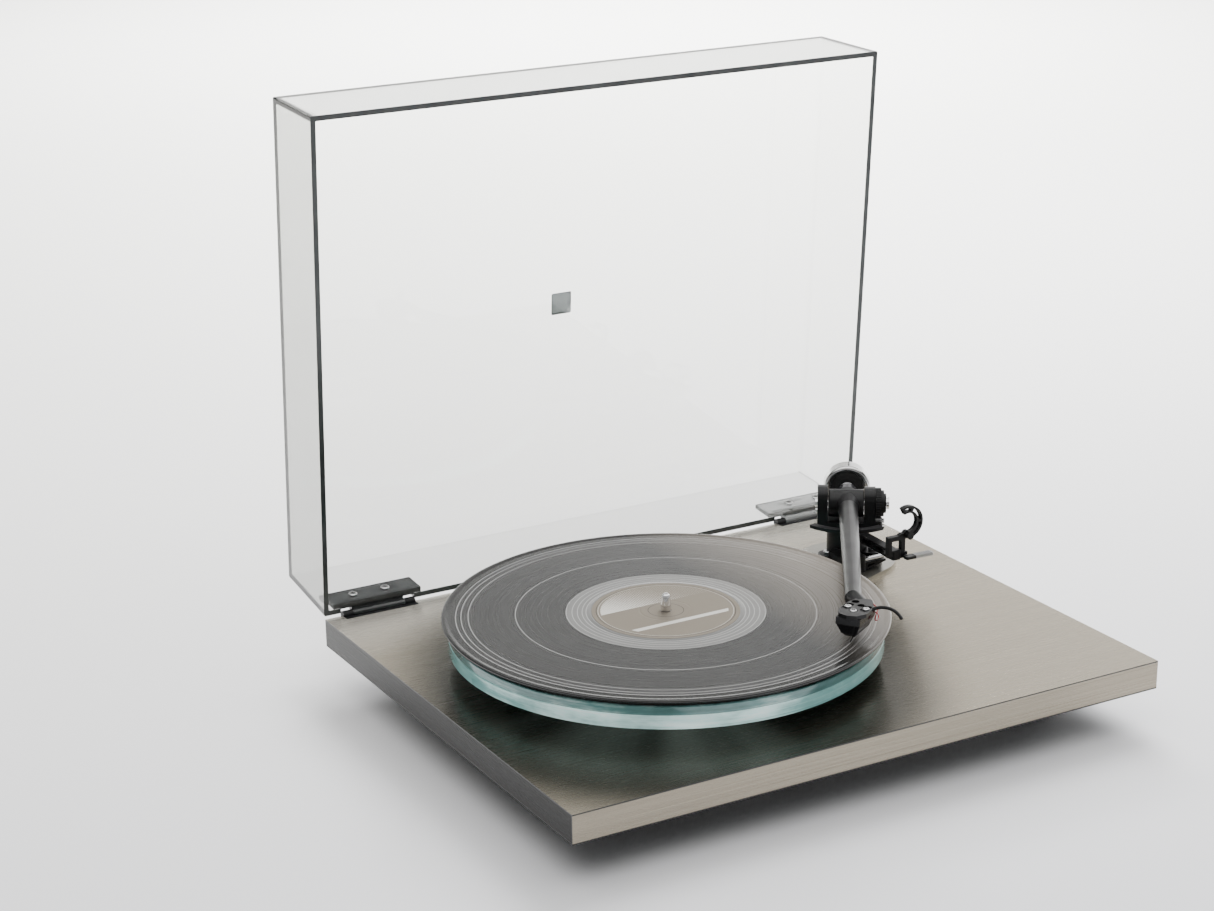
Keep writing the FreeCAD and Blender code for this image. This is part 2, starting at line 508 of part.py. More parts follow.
def make_counterweight():
    front, rear, r = -33.0, -47.5, 17.3
    body = bar((rear, 0, 0), (front, 0, 0), r)
    body = softened(body, 2.4, lambda e: isinstance(e.Curve, Part.Circle) and e.BoundBox.XMin > front - 0.1)
    body = softened(body, 1.2, lambda e: isinstance(e.Curve, Part.Circle) and e.BoundBox.XMax < rear + 0.1)
    body = body.cut(bar((front + 0.01, 0, 0), (front - 3, 0, 0), 15.0, 11.8))
    body = body.cut(bar((front - 2.9, 0, 0), (front - 6, 0, 0), 11.8))
    body = body.cut(bar((rear - 1, 0, 0), (front + 1, 0, 0), 9.0))
    save("counterweight", on_arm(body))
    bush = bar((rear + 1.0, 0, 0), (front - 5.9, 0, 0), 9.0)
    cone = bar((front - 5.9, 0, 0), (front - 3.2, 0, 0), 11.7)
    cone = cone.cut(bar((front - 5.0, 0, 0), (front - 3.1, 0, 0), 8.6, 11.3))
    bush = bush.fuse(cone).cut(bar((rear - 1, 0, 0), (front + 1, 0, 0), 6.65))
    save("counterweight_bush", on_arm(bush.removeSplitter()))


def make_yoke():
    """The U-shaped frame that turns on the vertical bearing, in the arm's plan directions but level."""
    base_z, floor_z = 27.0 - ARM_Z, 33.0 - ARM_Z
    parts = [rod(0, 0, base_z, floor_z, 12.4), rod(0, 0, 7.0 - ARM_Z, base_z + 1, 4.0)]
    tray = rounded_box(-9.4, 9.4, -22.2, 20.0, 29.5 - ARM_Z, floor_z, 4.0)
    left = side_slab(-22.2, -14.7, 9.4, 29.5 - ARM_Z, 13.0, 8.0)
    right = side_slab(12.1, 20.0, 9.4, 29.5 - ARM_Z, 12.0, 8.0)
    boss = rounded_box(-6.5, 6.5, 17.0, 25.4, 26.6 - ARM_Z, 33.2 - ARM_Z, 2.5)
    yoke = fuse_all(parts + [tray, left, right, boss])
    yoke = yoke.cut(bar((0, -30, 0), (0, -14, 0), 2.0)).cut(bar((0, 11, 0), (0, 21, 0), 2.0))
    save("arm_yoke", on_arm(yoke, slope=0))
    head = Part.makeCylinder(3.1, 1.7, Vector(0, -23.9, 0), Y_AXIS)
    left_pin = fuse_all([head, bar((0, -22.2, 0), (0, -10.8, 0), 2.0)])
    right_pin = bar((0, 7.8, 0), (0, 15.8, 0), 2.0)
    lower = []
    for x, y, z in ((-2.5, 25.4, -14.4), (3.6, 25.4, -17.0)):
        lower.append(Part.makeCylinder(1.9, 1.5, Vector(x, y, z), Y_AXIS))
    top = Part.makeCylinder(1.8, 1.2, Vector(-4.6, -23.4, -8.0), Y_AXIS)
    save("yoke_screws", on_arm(Part.makeCompound([left_pin, right_pin, top] + lower), slope=0))
    dial = fuse_all([Part.makeCylinder(r, b - a, Vector(0, a, 0), Y_AXIS)
                     for r, a, b in ((11.4, 20.3, 24.2), (9.6, 24.2, 26.2), (7.2, 26.2, 27.8))])
    knurls = [Part.makeCylinder(0.5, 5, Vector(11.5 * math.cos(a), 20.0, 11.5 * math.sin(a)), Y_AXIS)
              for a in [2 * math.pi * i / 36 for i in range(36)]]
    dial = dial.cut(fuse_all(knurls)).cut(bar((0, 19, 0), (0, 30, 0), 2.05))
    save("tracking_dial", on_arm(dial, slope=0))
    head = Part.makeCylinder(4.2, 2.0, Vector(0, 28.1, 0), Y_AXIS)
    screw = fuse_all([head, bar((0, 16.0, 0), (0, 28.1, 0), 2.0)])
    screw = screw.cut(box(-0.5, 0.5, 29.2, 31, -5, 5))
    save("dial_screw", on_arm(screw, slope=0))


def side_slab(y0, y1, half, z0, z1, r):
    """An upright cheek, rounded at its top corners."""
    slab = box(-half, half, y0, y1, z0, z1)
    return softened(slab, r, lambda e: abs(e.BoundBox.YLength - (y1 - y0)) < 0.01 and e.BoundBox.ZMin > z1 - 0.01)


# ---- the fixed base of the tonearm, its rest, clip, lift and bias slider ----
def at_rest_arm(shape):
    """From a frame with +X along the parked tube and +Y to its outer side, at the pivot, to the deck."""
    shape = shape.copy()
    shape.rotate(Vector(), Z_AXIS, PARK_DEG)
    shape.translate(Vector(ARM_X, ARM_Y, 0))
    return shape


def make_arm_base():
    x, y, z0 = ARM_X, ARM_Y, BRACE_T
    pillar = [rod(x, y, z0, PILLAR_Z1, PILLAR_R)]
    feet = [stadium((x, y), spot, 7.2, z0, 11.0) for spot in ARM_SCREWS]
    block = rounded_box(131.5, 150.0, 53.0, 78.0, z0, 14.6, 3.0)
    tower = rod(*LIFT_SPOT, z0, 29.5, 4.9)
    gusset = rib_along_x([(149, z0), (149, 8.4), (168, 8.4), (168, 7.0)], BIAS_Y - 2, BIAS_Y + 2)
    window = rib_along_x([(152, 4.8), (152, 7.0), (160, 7.0)], BIAS_Y - 3, BIAS_Y + 3)
    base = fuse_all(pillar + feet + [block, tower]).fuse(gusset.cut(window)).removeSplitter()
    base = base.cut(rod(x, y, 4.0, 30.0, 4.04)).cut(rod(x, y, 0, 5.0, 3.1))
    base = drilled(base, ARM_SCREWS, SCREW_R + 0.05, 0, 12)
    base = drilled(base, ARM_SCREWS, SCREW_HEAD_R + 0.3, 11.0, 15)
    base = drilled(base, [LIFT_SPOT], 2.55, 12, 31)
    base = base.cut(bar((136, BIAS_Y, BIAS_Z), (151, BIAS_Y, BIAS_Z), BIAS_R + 0.1))
    base = base.cut(at_rest_arm(bar((6.0, CUE_OUT, CUE_Z), (20.0, CUE_OUT, CUE_Z), CUE_R + 0.08)))
    save("tonearm_base", base)
    save("arm_base_screws", Part.makeCompound([pan_screw(*s, 11.0, 1, length=18.0) for s in ARM_SCREWS]))
    rod_end = bar((139, BIAS_Y, BIAS_Z), (167.5, BIAS_Y, BIAS_Z), BIAS_R)
    rod_end = softened(rod_end, 0.5, lambda e: isinstance(e.Curve, Part.Circle) and e.BoundBox.XMin > 160)
    save("bias_slider", rod_end)


def make_arm_rest():
    arm = rounded_box(14.0, 66.0, -3.4, 3.6, REST_Z0, REST_Z1, 1.5)
    arm = arm.cut(box(26, 42, -5, 5, REST_Z0 + 1.8, REST_Z1 - 1.8)).cut(box(44, 60, -5, 5, REST_Z0 + 1.8, REST_Z1 - 1.8))
    boss = box(56.0, 64.0, 2.0, CUE_OUT + 3.0, REST_Z0, 26.6)
    frame = box(61.6, 65.4, -7.2, 7.2, 24.6, 40.0).fuse(box(61.6, 65.4, 2.4, 7.2, 39.0, 41.4))
    lug = bar((61.6, CLIP_PIN[0], CLIP_PIN[1]), (65.4, CLIP_PIN[0], CLIP_PIN[1]), 2.9)
    rib = box(61.6, 65.4, 4.0, 8.8, 37.4, 40.4)
    rest = fuse_all([arm, boss, frame, lug, rib])
    rest = rest.cut(box(60, 67, -4.0, 4.0, 29.6, 36.6))
    rest = rest.cut(bar((55, 0, PARK_Z - 0.1), (70, 0, PARK_Z + 0.1), 7.1))
    rest = rest.cut(bar((50, CUE_OUT, CUE_Z), (70, CUE_OUT, CUE_Z), CUE_R + 0.08))
    rest = rest.cut(bar((60, CLIP_PIN[0], CLIP_PIN[1]), (70, CLIP_PIN[0], CLIP_PIN[1]), 1.25))
    save("arm_rest", at_rest_arm(rest).cut(rod(ARM_X, ARM_Y, 0, 30.0, PILLAR_R)))

    shaft = bar((7.0, CUE_OUT, CUE_Z), (68.0, CUE_OUT, CUE_Z), CUE_R)
    grip = rounded_box(66.0, 71.5, CUE_OUT - 2.2, CUE_OUT + 20.6, CUE_Z - 1.1, CUE_Z + 1.1, 1.0)
    ridges = []
    for i in range(8):
        y = CUE_OUT + 4.6 + 1.9 * i
        ridges.append(box(65.0, 73.0, y, y + 0.8, CUE_Z + 0.6, CUE_Z + 2))
    save("cue_lever", at_rest_arm(fuse_all([shaft, grip]).cut(fuse_all(ridges))))

    clip = sector(7.0, 12.2, -46.0, 158.0)
    for a, b in ((-26, 34), (44, 106), (118, 148)):
        clip = clip.cut(sector(8.5, 10.7, a, b))
    clip = clip.fuse(bar((66.0, CLIP_PIN[0], CLIP_PIN[1]), (70.0, CLIP_PIN[0], CLIP_PIN[1]), 2.6))
    clip = clip.fuse(bar((61.8, CLIP_PIN[0], CLIP_PIN[1]), (66.2, CLIP_PIN[0], CLIP_PIN[1]), 1.2)).removeSplitter()
    clip.rotate(Vector(0, CLIP_PIN[0], CLIP_PIN[1]), X_AXIS, -CLIP_OPEN_DEG)
    save("arm_clip", at_rest_arm(clip))


def sector(r0, r1, a0, a1):
    """Part of a ring round the parked tube, in the plane across it, from angle a0 to a1 (0 is outward)."""
    def at(r, a):
        return Vector(66.0, r * math.cos(math.radians(a)), PARK_Z + r * math.sin(math.radians(a)))
    mid = (a0 + a1) / 2
    curves = [Part.Arc(at(r0, a0), at(r0, mid), at(r0, a1)), Part.LineSegment(at(r0, a1), at(r1, a1)),
              Part.Arc(at(r1, a1), at(r1, mid), at(r1, a0)), Part.LineSegment(at(r1, a0), at(r0, a0))]
    outline = Part.Wire(Part.__sortEdges__([c.toShape() for c in curves]))
    return Part.Face(outline).extrude(Vector(4.0, 0, 0))


def make_lift_platform():
    r0, r1, z0, z1 = LIFT_R - 2.6, LIFT_R + 2.6, 35.4, 37.9
    arc = rod(0, 0, z0, z1, r1).cut(rod(0, 0, z0 - 1, z1 + 1, r0))
    a0, a1 = -46.0, 41.0
    wedge = prism([(0, 0), around(0, 0, 60, a0), (80, 0), around(0, 0, 60, a1)], z0, z1)
    arc = arc.common(wedge)
    arc.rotate(Vector(), Z_AXIS, ARM_DEG)
    arc.translate(Vector(ARM_X, ARM_Y, 0))
    tab = stadium(LIFT_SPOT, around(ARM_X, ARM_Y, LIFT_R - 1.0, -118.0), 3.2, z0, z1 - 0.9)
    stem = rod(*LIFT_SPOT, 14.0, z0 + 0.5, 2.5)
    save("lift_platform", fuse_all([arc, tab, stem]))


# ---- lid and hinges, drawn closed and then opened about the hinge pins ----
def opened(shape):
    shape = shape.copy()
    shape.rotate(Vector(0, HINGE_Y, HINGE_Z), X_AXIS, -LID_OPEN_DEG)
    return shape


def lid_section(z, inset):
    k = (z - LID_GAP) / LID_H
    return rounded_outline(-LID_W / 2 + LID_INSET_X * k + inset, LID_W / 2 - LID_INSET_X * k - inset,
                           -LID_D / 2 + LID_INSET_FRONT * k + inset, LID_D / 2 - LID_INSET_REAR * k - inset,
                           z, LID_INNER_CORNER_R if inset else LID_CORNER_R)


def inner_rear_y(z):
    return LID_D / 2 - LID_WALL - LID_INSET_REAR * (z - LID_GAP) / LID_H


def make_lid():
    z0, z1 = LID_GAP, LID_GAP + LID_H
    lid = Part.makeLoft([lid_section(z0, 0), lid_section(z1, 0)], True, True)
    inside = Part.makeLoft([lid_section(z0 - 1, LID_WALL), lid_section(z1 - LID_WALL, LID_WALL)], True, True)
    lid = lid.cut(inside)
    for side in (-1, 1):
        x = side * HINGE_X
        lid = lid.cut(box(x - 28.6, x + 28.6, 165, 190, z0 - 1, 6.2))
        for sx in LEAF_SCREWS:
            lid = lid.cut(bar((side * sx, 168, LEAF_SCREW_Z), (side * sx, 176.5, LEAF_SCREW_Z), 1.65))
    save("lid_cover", opened(lid))
    z = z1
    foot, top = rounded_outline(-8.2, 8.2, -8.2, 8.2, z, 1.2), rounded_outline(-7.0, 7.0, -7.0, 7.0, z + 1.8, 1.0)
    badge = Part.makeLoft([foot, top], True, True)
    badge = badge.cut(Part.makeSphere(9.0, Vector(0, 0, z + 1.8 + 8.3)))
    save("lid_badge", opened(badge))
    screws = []
    for side in (-1, 1):
        x0, x1 = sorted((side * LEAF_X0, side * LEAF_X1))
        low, high = 1.0, LEAF_H
        leaf = side_prism([(171.2, low), (inner_rear_y(low), low), (inner_rear_y(high), high), (171.2, high)], x0, x1)
        x = side * HINGE_X
        link = side_prism([(171.2, low), (171.2, 5.6), (178.6, 5.6), (183.0, 1.5), (182.6, low)],
                          x - BARREL_HALF, x + BARREL_HALF)
        barrel = bar((x - BARREL_HALF, HINGE_Y, HINGE_Z), (x + BARREL_HALF, HINGE_Y, HINGE_Z), BARREL_R)
        leaf = fuse_all([leaf, link, barrel])
        leaf = leaf.cut(bar((x - 30, HINGE_Y, HINGE_Z), (x + 30, HINGE_Y, HINGE_Z), PIN_BORE_R))
        for sx in LEAF_SCREWS:
            leaf = leaf.cut(bar((side * sx, 168, LEAF_SCREW_Z), (side * sx, 180, LEAF_SCREW_Z), 1.65))
            s = pan_screw(0, 0, 0, 1, r=1.6, length=5.0, head_r=3.2, head_h=1.6)
            s.rotate(Vector(), X_AXIS, 90)
            s.translate(Vector(side * sx, 171.2, LEAF_SCREW_Z))
            screws.append(s)
        save("hinge_leaf_" + ("left" if side < 0 else "right"), opened(leaf))
    save("hinge_leaf_screws", opened(Part.makeCompound(screws)))


def make_hinge_bases():
    pins = []
    for side in (-1, 1):
        x = side * HINGE_X
        plate = box(x - 27.8, x + 27.8, 172.2, 176.4, -13.8, -0.2)
        parts = [plate]
        for dx in (-1, 1):
            xa, xb = sorted((x + dx * 20.3, x + dx * 27.8))
            parts.append(box(xa, xb, 172.2, 183.4, -13.8, -0.3))
            parts.append(bar((xa, HINGE_Y, HINGE_Z), (xb, HINGE_Y, HINGE_Z), 3.3))
        base = fuse_all(parts)
        base = base.cut(bar((x - 30, HINGE_Y, HINGE_Z), (x + 30, HINGE_Y, HINGE_Z), PIN_R))
        for dx in (-24, 24):
            base = base.cut(bar((x + dx, 190, -10), (x + dx, 181.6, -10), SCREW_HEAD_R + 0.3))
            base = base.cut(bar((x + dx, 190, -10), (x + dx, 160, -10), SCREW_R + 0.05))
        save("hinge_base_" + ("left" if side < 0 else "right"), base)
        pins.append(bar((x - 27.8, HINGE_Y, HINGE_Z), (x + 27.8, HINGE_Y, HINGE_Z), PIN_R))
    save("hinge_pins", Part.makeCompound(pins))


def main():
    os.makedirs("parts", exist_ok=True)
    make_plinth()
    make_braces()
    make_fasteners()
    make_feet()
    make_services()
    make_bearing()
    make_drive()
    make_platter()
    make_arm()
    make_counterweight()
    make_yoke()
    make_arm_base()
    make_arm_rest()
    make_lift_platform()
    make_lid()
    make_hinge_bases()


main()
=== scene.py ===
"""Looks of the turntable record player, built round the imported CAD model.

Everything is in metres in the model's own frame: +Z up, the front edge towards -Y, the tonearm on the right.
"""

import json
import math

import bmesh
import bpy
from mathutils import Matrix, Vector


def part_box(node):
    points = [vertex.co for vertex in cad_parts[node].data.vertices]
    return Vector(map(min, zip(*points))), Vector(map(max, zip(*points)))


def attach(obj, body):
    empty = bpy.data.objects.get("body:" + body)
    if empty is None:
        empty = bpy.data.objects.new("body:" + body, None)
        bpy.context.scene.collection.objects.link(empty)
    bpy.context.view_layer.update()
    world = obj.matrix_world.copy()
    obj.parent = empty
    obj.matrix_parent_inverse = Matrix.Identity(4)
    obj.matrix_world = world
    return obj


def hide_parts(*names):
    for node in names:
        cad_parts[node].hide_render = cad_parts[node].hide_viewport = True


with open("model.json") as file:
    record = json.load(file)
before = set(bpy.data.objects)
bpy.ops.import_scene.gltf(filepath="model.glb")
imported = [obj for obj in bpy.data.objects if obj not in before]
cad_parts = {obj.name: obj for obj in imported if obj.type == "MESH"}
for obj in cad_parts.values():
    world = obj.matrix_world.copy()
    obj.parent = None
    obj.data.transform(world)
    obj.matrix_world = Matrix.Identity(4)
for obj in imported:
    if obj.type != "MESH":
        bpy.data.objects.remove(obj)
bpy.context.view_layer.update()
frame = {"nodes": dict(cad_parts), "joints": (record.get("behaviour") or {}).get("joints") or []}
NODES = frame["nodes"]

MM = 0.001

# ---- places read from the model ----
record_lo, record_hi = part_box("record")
label_lo, label_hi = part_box("record_label")
SPINDLE = ((record_lo.x + record_hi.x) / 2, (record_lo.y + record_hi.y) / 2)
DECK_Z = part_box("top_skin")[1].z
CUE_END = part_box("cue_lever")[1].x
LID_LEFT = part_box("lid_cover")[0].x
LID_GAP = 0.5 * MM                       # between the plinth and the mouth of the closed lid
RIM_DEPTH = 0.3 * MM                     # how far in from its mouth the lid's cut edge shows dark
LEFT_WALL = 6 * MM                       # the width that takes in the lid's left wall, which carries painted shade
CUE_SILVER = 15.0 * MM                   # the length of the cue lever's silver end
JOINTS = {j["name"]: j for j in frame["joints"]}
PIVOT = Vector(JOINTS["arm_lift"]["pos_m"])
HINGE = Vector(JOINTS["lid_hinge"]["pos_m"])
LID_OPEN = math.radians(-JOINTS["lid_hinge"]["range_deg"][0])
ARM_AXIS = -Vector(JOINTS["weight_slide"]["axis"]).normalized()   # from the pivot to the headshell


# ---- node trees ----
class Tree:
    """A material's node tree, with short ways to add nodes to it."""

    def __init__(self, name):
        self.material = bpy.data.materials.new(name)
        self.material.use_nodes = True
        self.nodes = self.material.node_tree.nodes
        self.links = self.material.node_tree.links
        self.nodes.clear()
        self.out = self.nodes.new("ShaderNodeOutputMaterial")
        self.shader = self.nodes.new("ShaderNodeBsdfPrincipled")
        self.links.new(self.shader.outputs["BSDF"], self.out.inputs["Surface"])

    def put(self, socket, value):
        if isinstance(value, bpy.types.NodeSocket):
            self.links.new(value, socket)
        elif isinstance(value, (tuple, list)) and socket.type == "RGBA" and len(value) == 3:
            socket.default_value = (*value, 1.0)
        else:
            socket.default_value = value

    def add(self, kind, settings=None, **inputs):
        node = self.nodes.new("ShaderNode" + kind)
        for key, value in (settings or {}).items():
            setattr(node, key, value)
        for key, value in inputs.items():
            self.put(node.inputs[key.replace("_", " ")], value)
        return node

    def set(self, **inputs):
        for key, value in inputs.items():
            self.put(self.shader.inputs[key.replace("_", " ")], value)

    def math(self, operation, a, b=0.0):
        node = self.nodes.new("ShaderNodeMath")
        node.operation = operation
        self.put(node.inputs[0], a)
        self.put(node.inputs[1], b)
        return node.outputs[0]

    def object_coords(self):
        return self.add("TexCoord").outputs["Object"]

    def normal(self):
        return self.add("TexCoord").outputs["Normal"]

    def split(self, vector):
        return self.add("SeparateXYZ", Vector=vector).outputs

    def scaled(self, vector, scale, rotation=(0, 0, 0)):
        return self.add("Mapping", Vector=vector, Scale=scale, Rotation=rotation).outputs[0]

    def noise(self, vector, scale=1.0, detail=3.0, rough=0.5, dimensions="3D"):
        node = self.add("TexNoise", {"noise_dimensions": dimensions}, Scale=scale, Detail=detail,
                        Roughness=rough)
        if dimensions == "1D":
            self.links.new(vector, node.inputs["W"])
        else:
            self.links.new(vector, node.inputs["Vector"])
        return node.outputs[0]

    def ramp(self, factor, stops, interpolation="LINEAR"):
        """A colour ramp over (place, grey or colour) stops."""
        node = self.add("ValToRGB")
        ramp = node.color_ramp
        ramp.interpolation = interpolation
        while len(ramp.elements) > 1:
            ramp.elements.remove(ramp.elements[-1])
        for i, (place, colour) in enumerate(stops):
            element = ramp.elements[0] if i == 0 else ramp.elements.new(place)
            element.position = place
            colour = (colour,) * 3 if isinstance(colour, (int, float)) else colour
            element.color = (*colour, 1.0)
        self.links.new(factor, node.inputs[0])
        return node.outputs[0]

    def mix(self, factor, a, b):
        node = self.add("Mix", {"data_type": "RGBA"})
        self.put(node.inputs[0], factor)
        self.put(node.inputs[6], a)
        self.put(node.inputs[7], b)
        return node.outputs[2]

    def remap(self, value, low, high, from_low=0.0, from_high=1.0):
        node = self.add("MapRange")
        for i, v in enumerate((value, from_low, from_high, low, high)):
            self.put(node.inputs[i], v)
        return node.outputs[0]

    def bump(self, height, distance, strength):
        node = self.add("Bump", Strength=strength, Distance=distance, Height=height)
        self.links.new(node.outputs[0], self.shader.inputs["Normal"])

    def radius(self, centre, coords=None):
        """Distance in plan from a vertical axis, in metres."""
        x, y, _ = self.split(coords or self.object_coords())
        dx = self.math("SUBTRACT", x, centre[0])
        dy = self.math("SUBTRACT", y, centre[1])
        square = self.math("ADD", self.math("MULTIPLY", dx, dx), self.math("MULTIPLY", dy, dy))
        return self.math("SQRT", square), dx, dy


# ---- materials ----
CHAMPAGNE_DARK = (0.440, 0.388, 0.300)
CHAMPAGNE_LIGHT = (0.620, 0.555, 0.440)
INK = (0.012, 0.012, 0.013)
SHADE_TURN, SHADE_REACH, SHADE_DEPTH = -118.0, 60 * MM, 0.90
SHADE_INNER, SHADE_OUTER = 136 * MM, 212 * MM     # where the painted shade starts to fade, and where it has gone
BRIGHT_FROM, BRIGHT_TO = 60 * MM, 150 * MM        # the strip behind the platter that carries painted light


def shaded_by_platter(t, coords):
    """The painted shade on the metal in front of the platter.

    It is painted in for the main view, and follows neither the lamps nor the pose.
    """
    _, dx, dy = t.radius(SPINDLE, coords)
    a = math.radians(SHADE_TURN)
    along = t.math("ADD", t.math("MULTIPLY", dx, math.cos(a)), t.math("MULTIPLY", dy, math.sin(a)))
    along = t.math("MAXIMUM", t.math("MINIMUM", along, SHADE_REACH), 0.0)
    ex = t.math("SUBTRACT", dx, t.math("MULTIPLY", along, math.cos(a)))
    ey = t.math("SUBTRACT", dy, t.math("MULTIPLY", along, math.sin(a)))
    away = t.math("SQRT", t.math("ADD", t.math("MULTIPLY", ex, ex), t.math("MULTIPLY", ey, ey)))
    soft = t.add("MapRange", {"interpolation_type": "SMOOTHERSTEP"})
    for i, v in enumerate((away, SHADE_INNER, SHADE_OUTER, SHADE_DEPTH, 0.0)):
        t.put(soft.inputs[i], v)
    return soft.outputs[0]


def brushed_laminate(name, grain, edge_axis, shade=1.0):
    """Brushed champagne laminate, its grain along one axis; faces square to edge_axis show its black core."""
    t = Tree(name)
    coords = t.object_coords()
    fine = [5.0 if i == grain else 2600.0 for i in range(3)]
    broad = [3.0 if i == grain else 420.0 for i in range(3)]
    hair = t.noise(t.scaled(coords, fine), detail=4.0, rough=0.65)
    streak = t.noise(t.scaled(coords, broad), detail=3.0, rough=0.6)
    grey = t.math("ADD", t.math("MULTIPLY", hair, 0.80), t.math("MULTIPLY", streak, 0.20))
    # painted shade: a shade below 1 darkens the metal, as on the front, rear and side bands
    metal = t.ramp(grey, [(0.30, tuple(c * shade for c in CHAMPAGNE_DARK)),
                          (0.70, tuple(c * shade for c in CHAMPAGNE_LIGHT))])
    if grain == 0 and edge_axis == 2:
        _, y, _ = t.split(coords)      # painted light: the strip behind the platter is lighter
        bright = t.mix(t.remap(y, 0.0, 1.0, BRIGHT_FROM, BRIGHT_TO), metal, (0.90, 0.86, 0.78))
        # painted shade: the metal in front of the platter is darkened
        metal = t.mix(shaded_by_platter(t, coords), bright, (0.024, 0.026, 0.019))
    facing = t.math("ABSOLUTE", t.split(t.normal())[edge_axis])
    core = t.math("GREATER_THAN", facing, 0.6)
    if edge_axis == 2:
        core = t.math("LESS_THAN", facing, 0.6)
    t.set(Base_Color=t.mix(core, metal, INK), Metallic=t.math("SUBTRACT", 0.94, t.math("MULTIPLY", core, 0.94)),
          Roughness=t.remap(grey, 0.33, 0.20, 0.3, 0.7), Anisotropic=0.80, Coat_Weight=0.10,
          Coat_Roughness=0.10)
    across = t.add("CombineXYZ", X=0.0, Y=0.0 if grain == 1 else 0.7, Z=0.7).outputs[0]
    t.put(t.shader.inputs["Tangent"], across)
    t.bump(hair, 0.00006, 0.35)
    return t.material


def black_laminate():
    t = Tree("black_laminate")
    speck = t.noise(t.object_coords(), 3500.0, 2.0)
    t.set(Base_Color=t.ramp(speck, [(0.3, 0.010), (0.8, 0.022)]), Roughness=t.remap(speck, 0.45, 0.6))
    t.bump(speck, 0.00005, 0.4)
    return t.material


def bare_board():
    t = Tree("board")
    grain = t.noise(t.scaled(t.object_coords(), (20, 200, 200)), detail=5.0)
    t.set(Base_Color=t.ramp(grain, [(0.3, (0.36, 0.27, 0.17)), (0.7, (0.52, 0.41, 0.27))]), Roughness=0.8)
    t.bump(grain, 0.0003, 0.5)
    return t.material


def brushed_metal(name, dark, light, rough, angle=0.0):
    """Metal brushed along a plan direction."""
    t = Tree(name)
    hair = t.noise(t.scaled(t.object_coords(), (14, 2200, 2200), (0, 0, angle)), detail=3.0, rough=0.6)
    t.set(Base_Color=t.ramp(hair, [(0.3, dark), (0.7, light)]), Metallic=1.0,
          Roughness=t.remap(hair, rough + 0.06, rough - 0.05), Anisotropic=0.4)
    t.bump(hair, 0.00005, 0.3)
    return t.material


def polished(name, colour, rough, wear=0.03):
    """Plated metal: very smooth, with faint wipe marks and a trace of orange peel."""
    t = Tree(name)
    coords = t.object_coords()
    wipe = t.noise(t.scaled(coords, (90, 260, 90)), detail=5.0, rough=0.7)
    peel = t.noise(coords, 900.0, 2.0)
    t.set(Base_Color=t.ramp(wipe, [(0.35, tuple(c * 0.94 for c in colour)), (0.65, colour)]), Metallic=1.0,
          Roughness=t.remap(wipe, rough, rough + wear))
    t.bump(peel, 0.00002, 0.12)
    return t.material


def powder_coat(name, colour, rough, grain, depth=0.00005, strength=0.35):
    """Satin black finish with a fine pebbled grain and slightly rubbed patches."""
    t = Tree(name)
    coords = t.object_coords()
    pebble = t.noise(coords, grain, 3.0, 0.6)
    patch = t.noise(coords, 55.0, 4.0, 0.6)
    low, high = (tuple(c * k for c in colour) for k in (0.8, 1.25))
    t.set(Base_Color=t.ramp(patch, [(0.3, low), (0.75, high)]),
          Roughness=t.remap(patch, rough + 0.07, rough - 0.06), Specular_IOR_Level=0.25)
    t.bump(pebble, depth, strength)
    return t.material


def gloss_moulding(name, colour):
    t = Tree(name)
    coords = t.object_coords()
    smear = t.noise(coords, 120.0, 4.0)
    ripple = t.noise(coords, 260.0, 1.0)
    t.set(Base_Color=t.ramp(smear, [(0.3, colour), (0.8, tuple(c * 1.5 for c in colour))]),
          Roughness=t.remap(smear, 0.07, 0.16), Specular_IOR_Level=0.22)
    t.bump(ripple, 0.00004, 0.2)
    return t.material


def turned_weight():
    """Turned and plated metal, with rings round the tonearm's axis."""
    t = Tree("turned_weight")
    offset = t.add("VectorMath", {"operation": "SUBTRACT"}).outputs[0]
    t.put(offset.node.inputs[0], t.object_coords())
    t.put(offset.node.inputs[1], PIVOT)
    along = t.add("VectorMath", {"operation": "DOT_PRODUCT"})
    t.put(along.inputs[0], offset)
    t.put(along.inputs[1], ARM_AXIS)
    length = t.add("VectorMath", {"operation": "LENGTH"})
    t.put(length.inputs[0], offset)
    square = t.math("SUBTRACT", t.math("POWER", length.outputs["Value"], 2.0),
                    t.math("POWER", along.outputs["Value"], 2.0))
    radial = t.math("SQRT", t.math("MAXIMUM", square, 0.0))
    where = t.math("MULTIPLY", t.math("ADD", radial, along.outputs["Value"]), 1500.0)
    rings = t.noise(where, 1.0, 3.0, 0.6, "1D")
    t.set(Base_Color=t.ramp(rings, [(0.36, 0.10), (0.48, 0.58), (0.64, 0.86)]), Metallic=1.0,
          Roughness=t.remap(rings, 0.10, 0.22))
    t.bump(rings, 0.00006, 0.35)
    return t.material


def cue_moulding():
    """The black lever, with a silver ridged end to it."""
    t = Tree("cue_moulding")
    coords = t.object_coords()
    pebble = t.noise(coords, 2600.0, 3.0, 0.6)
    x, _, _ = t.split(coords)
    end = t.math("GREATER_THAN", x, CUE_END - CUE_SILVER)
    silver = t.ramp(pebble, [(0.3, 0.30), (0.7, 0.50)])
    t.set(Base_Color=t.mix(end, (0.009, 0.009, 0.009), silver), Metallic=t.math("MULTIPLY", end, 0.85),
          Roughness=t.remap(pebble, 0.30, 0.42), Specular_IOR_Level=0.30)
    t.bump(pebble, 0.00004, 0.3)
    return t.material


def rubber():
    t = Tree("rubber")
    dust = t.noise(t.object_coords(), 700.0, 4.0, 0.7)
    t.set(Base_Color=t.ramp(dust, [(0.3, 0.012), (0.8, 0.030)]), Roughness=t.remap(dust, 0.65, 0.85))
    t.bump(dust, 0.00008, 0.5)
    return t.material


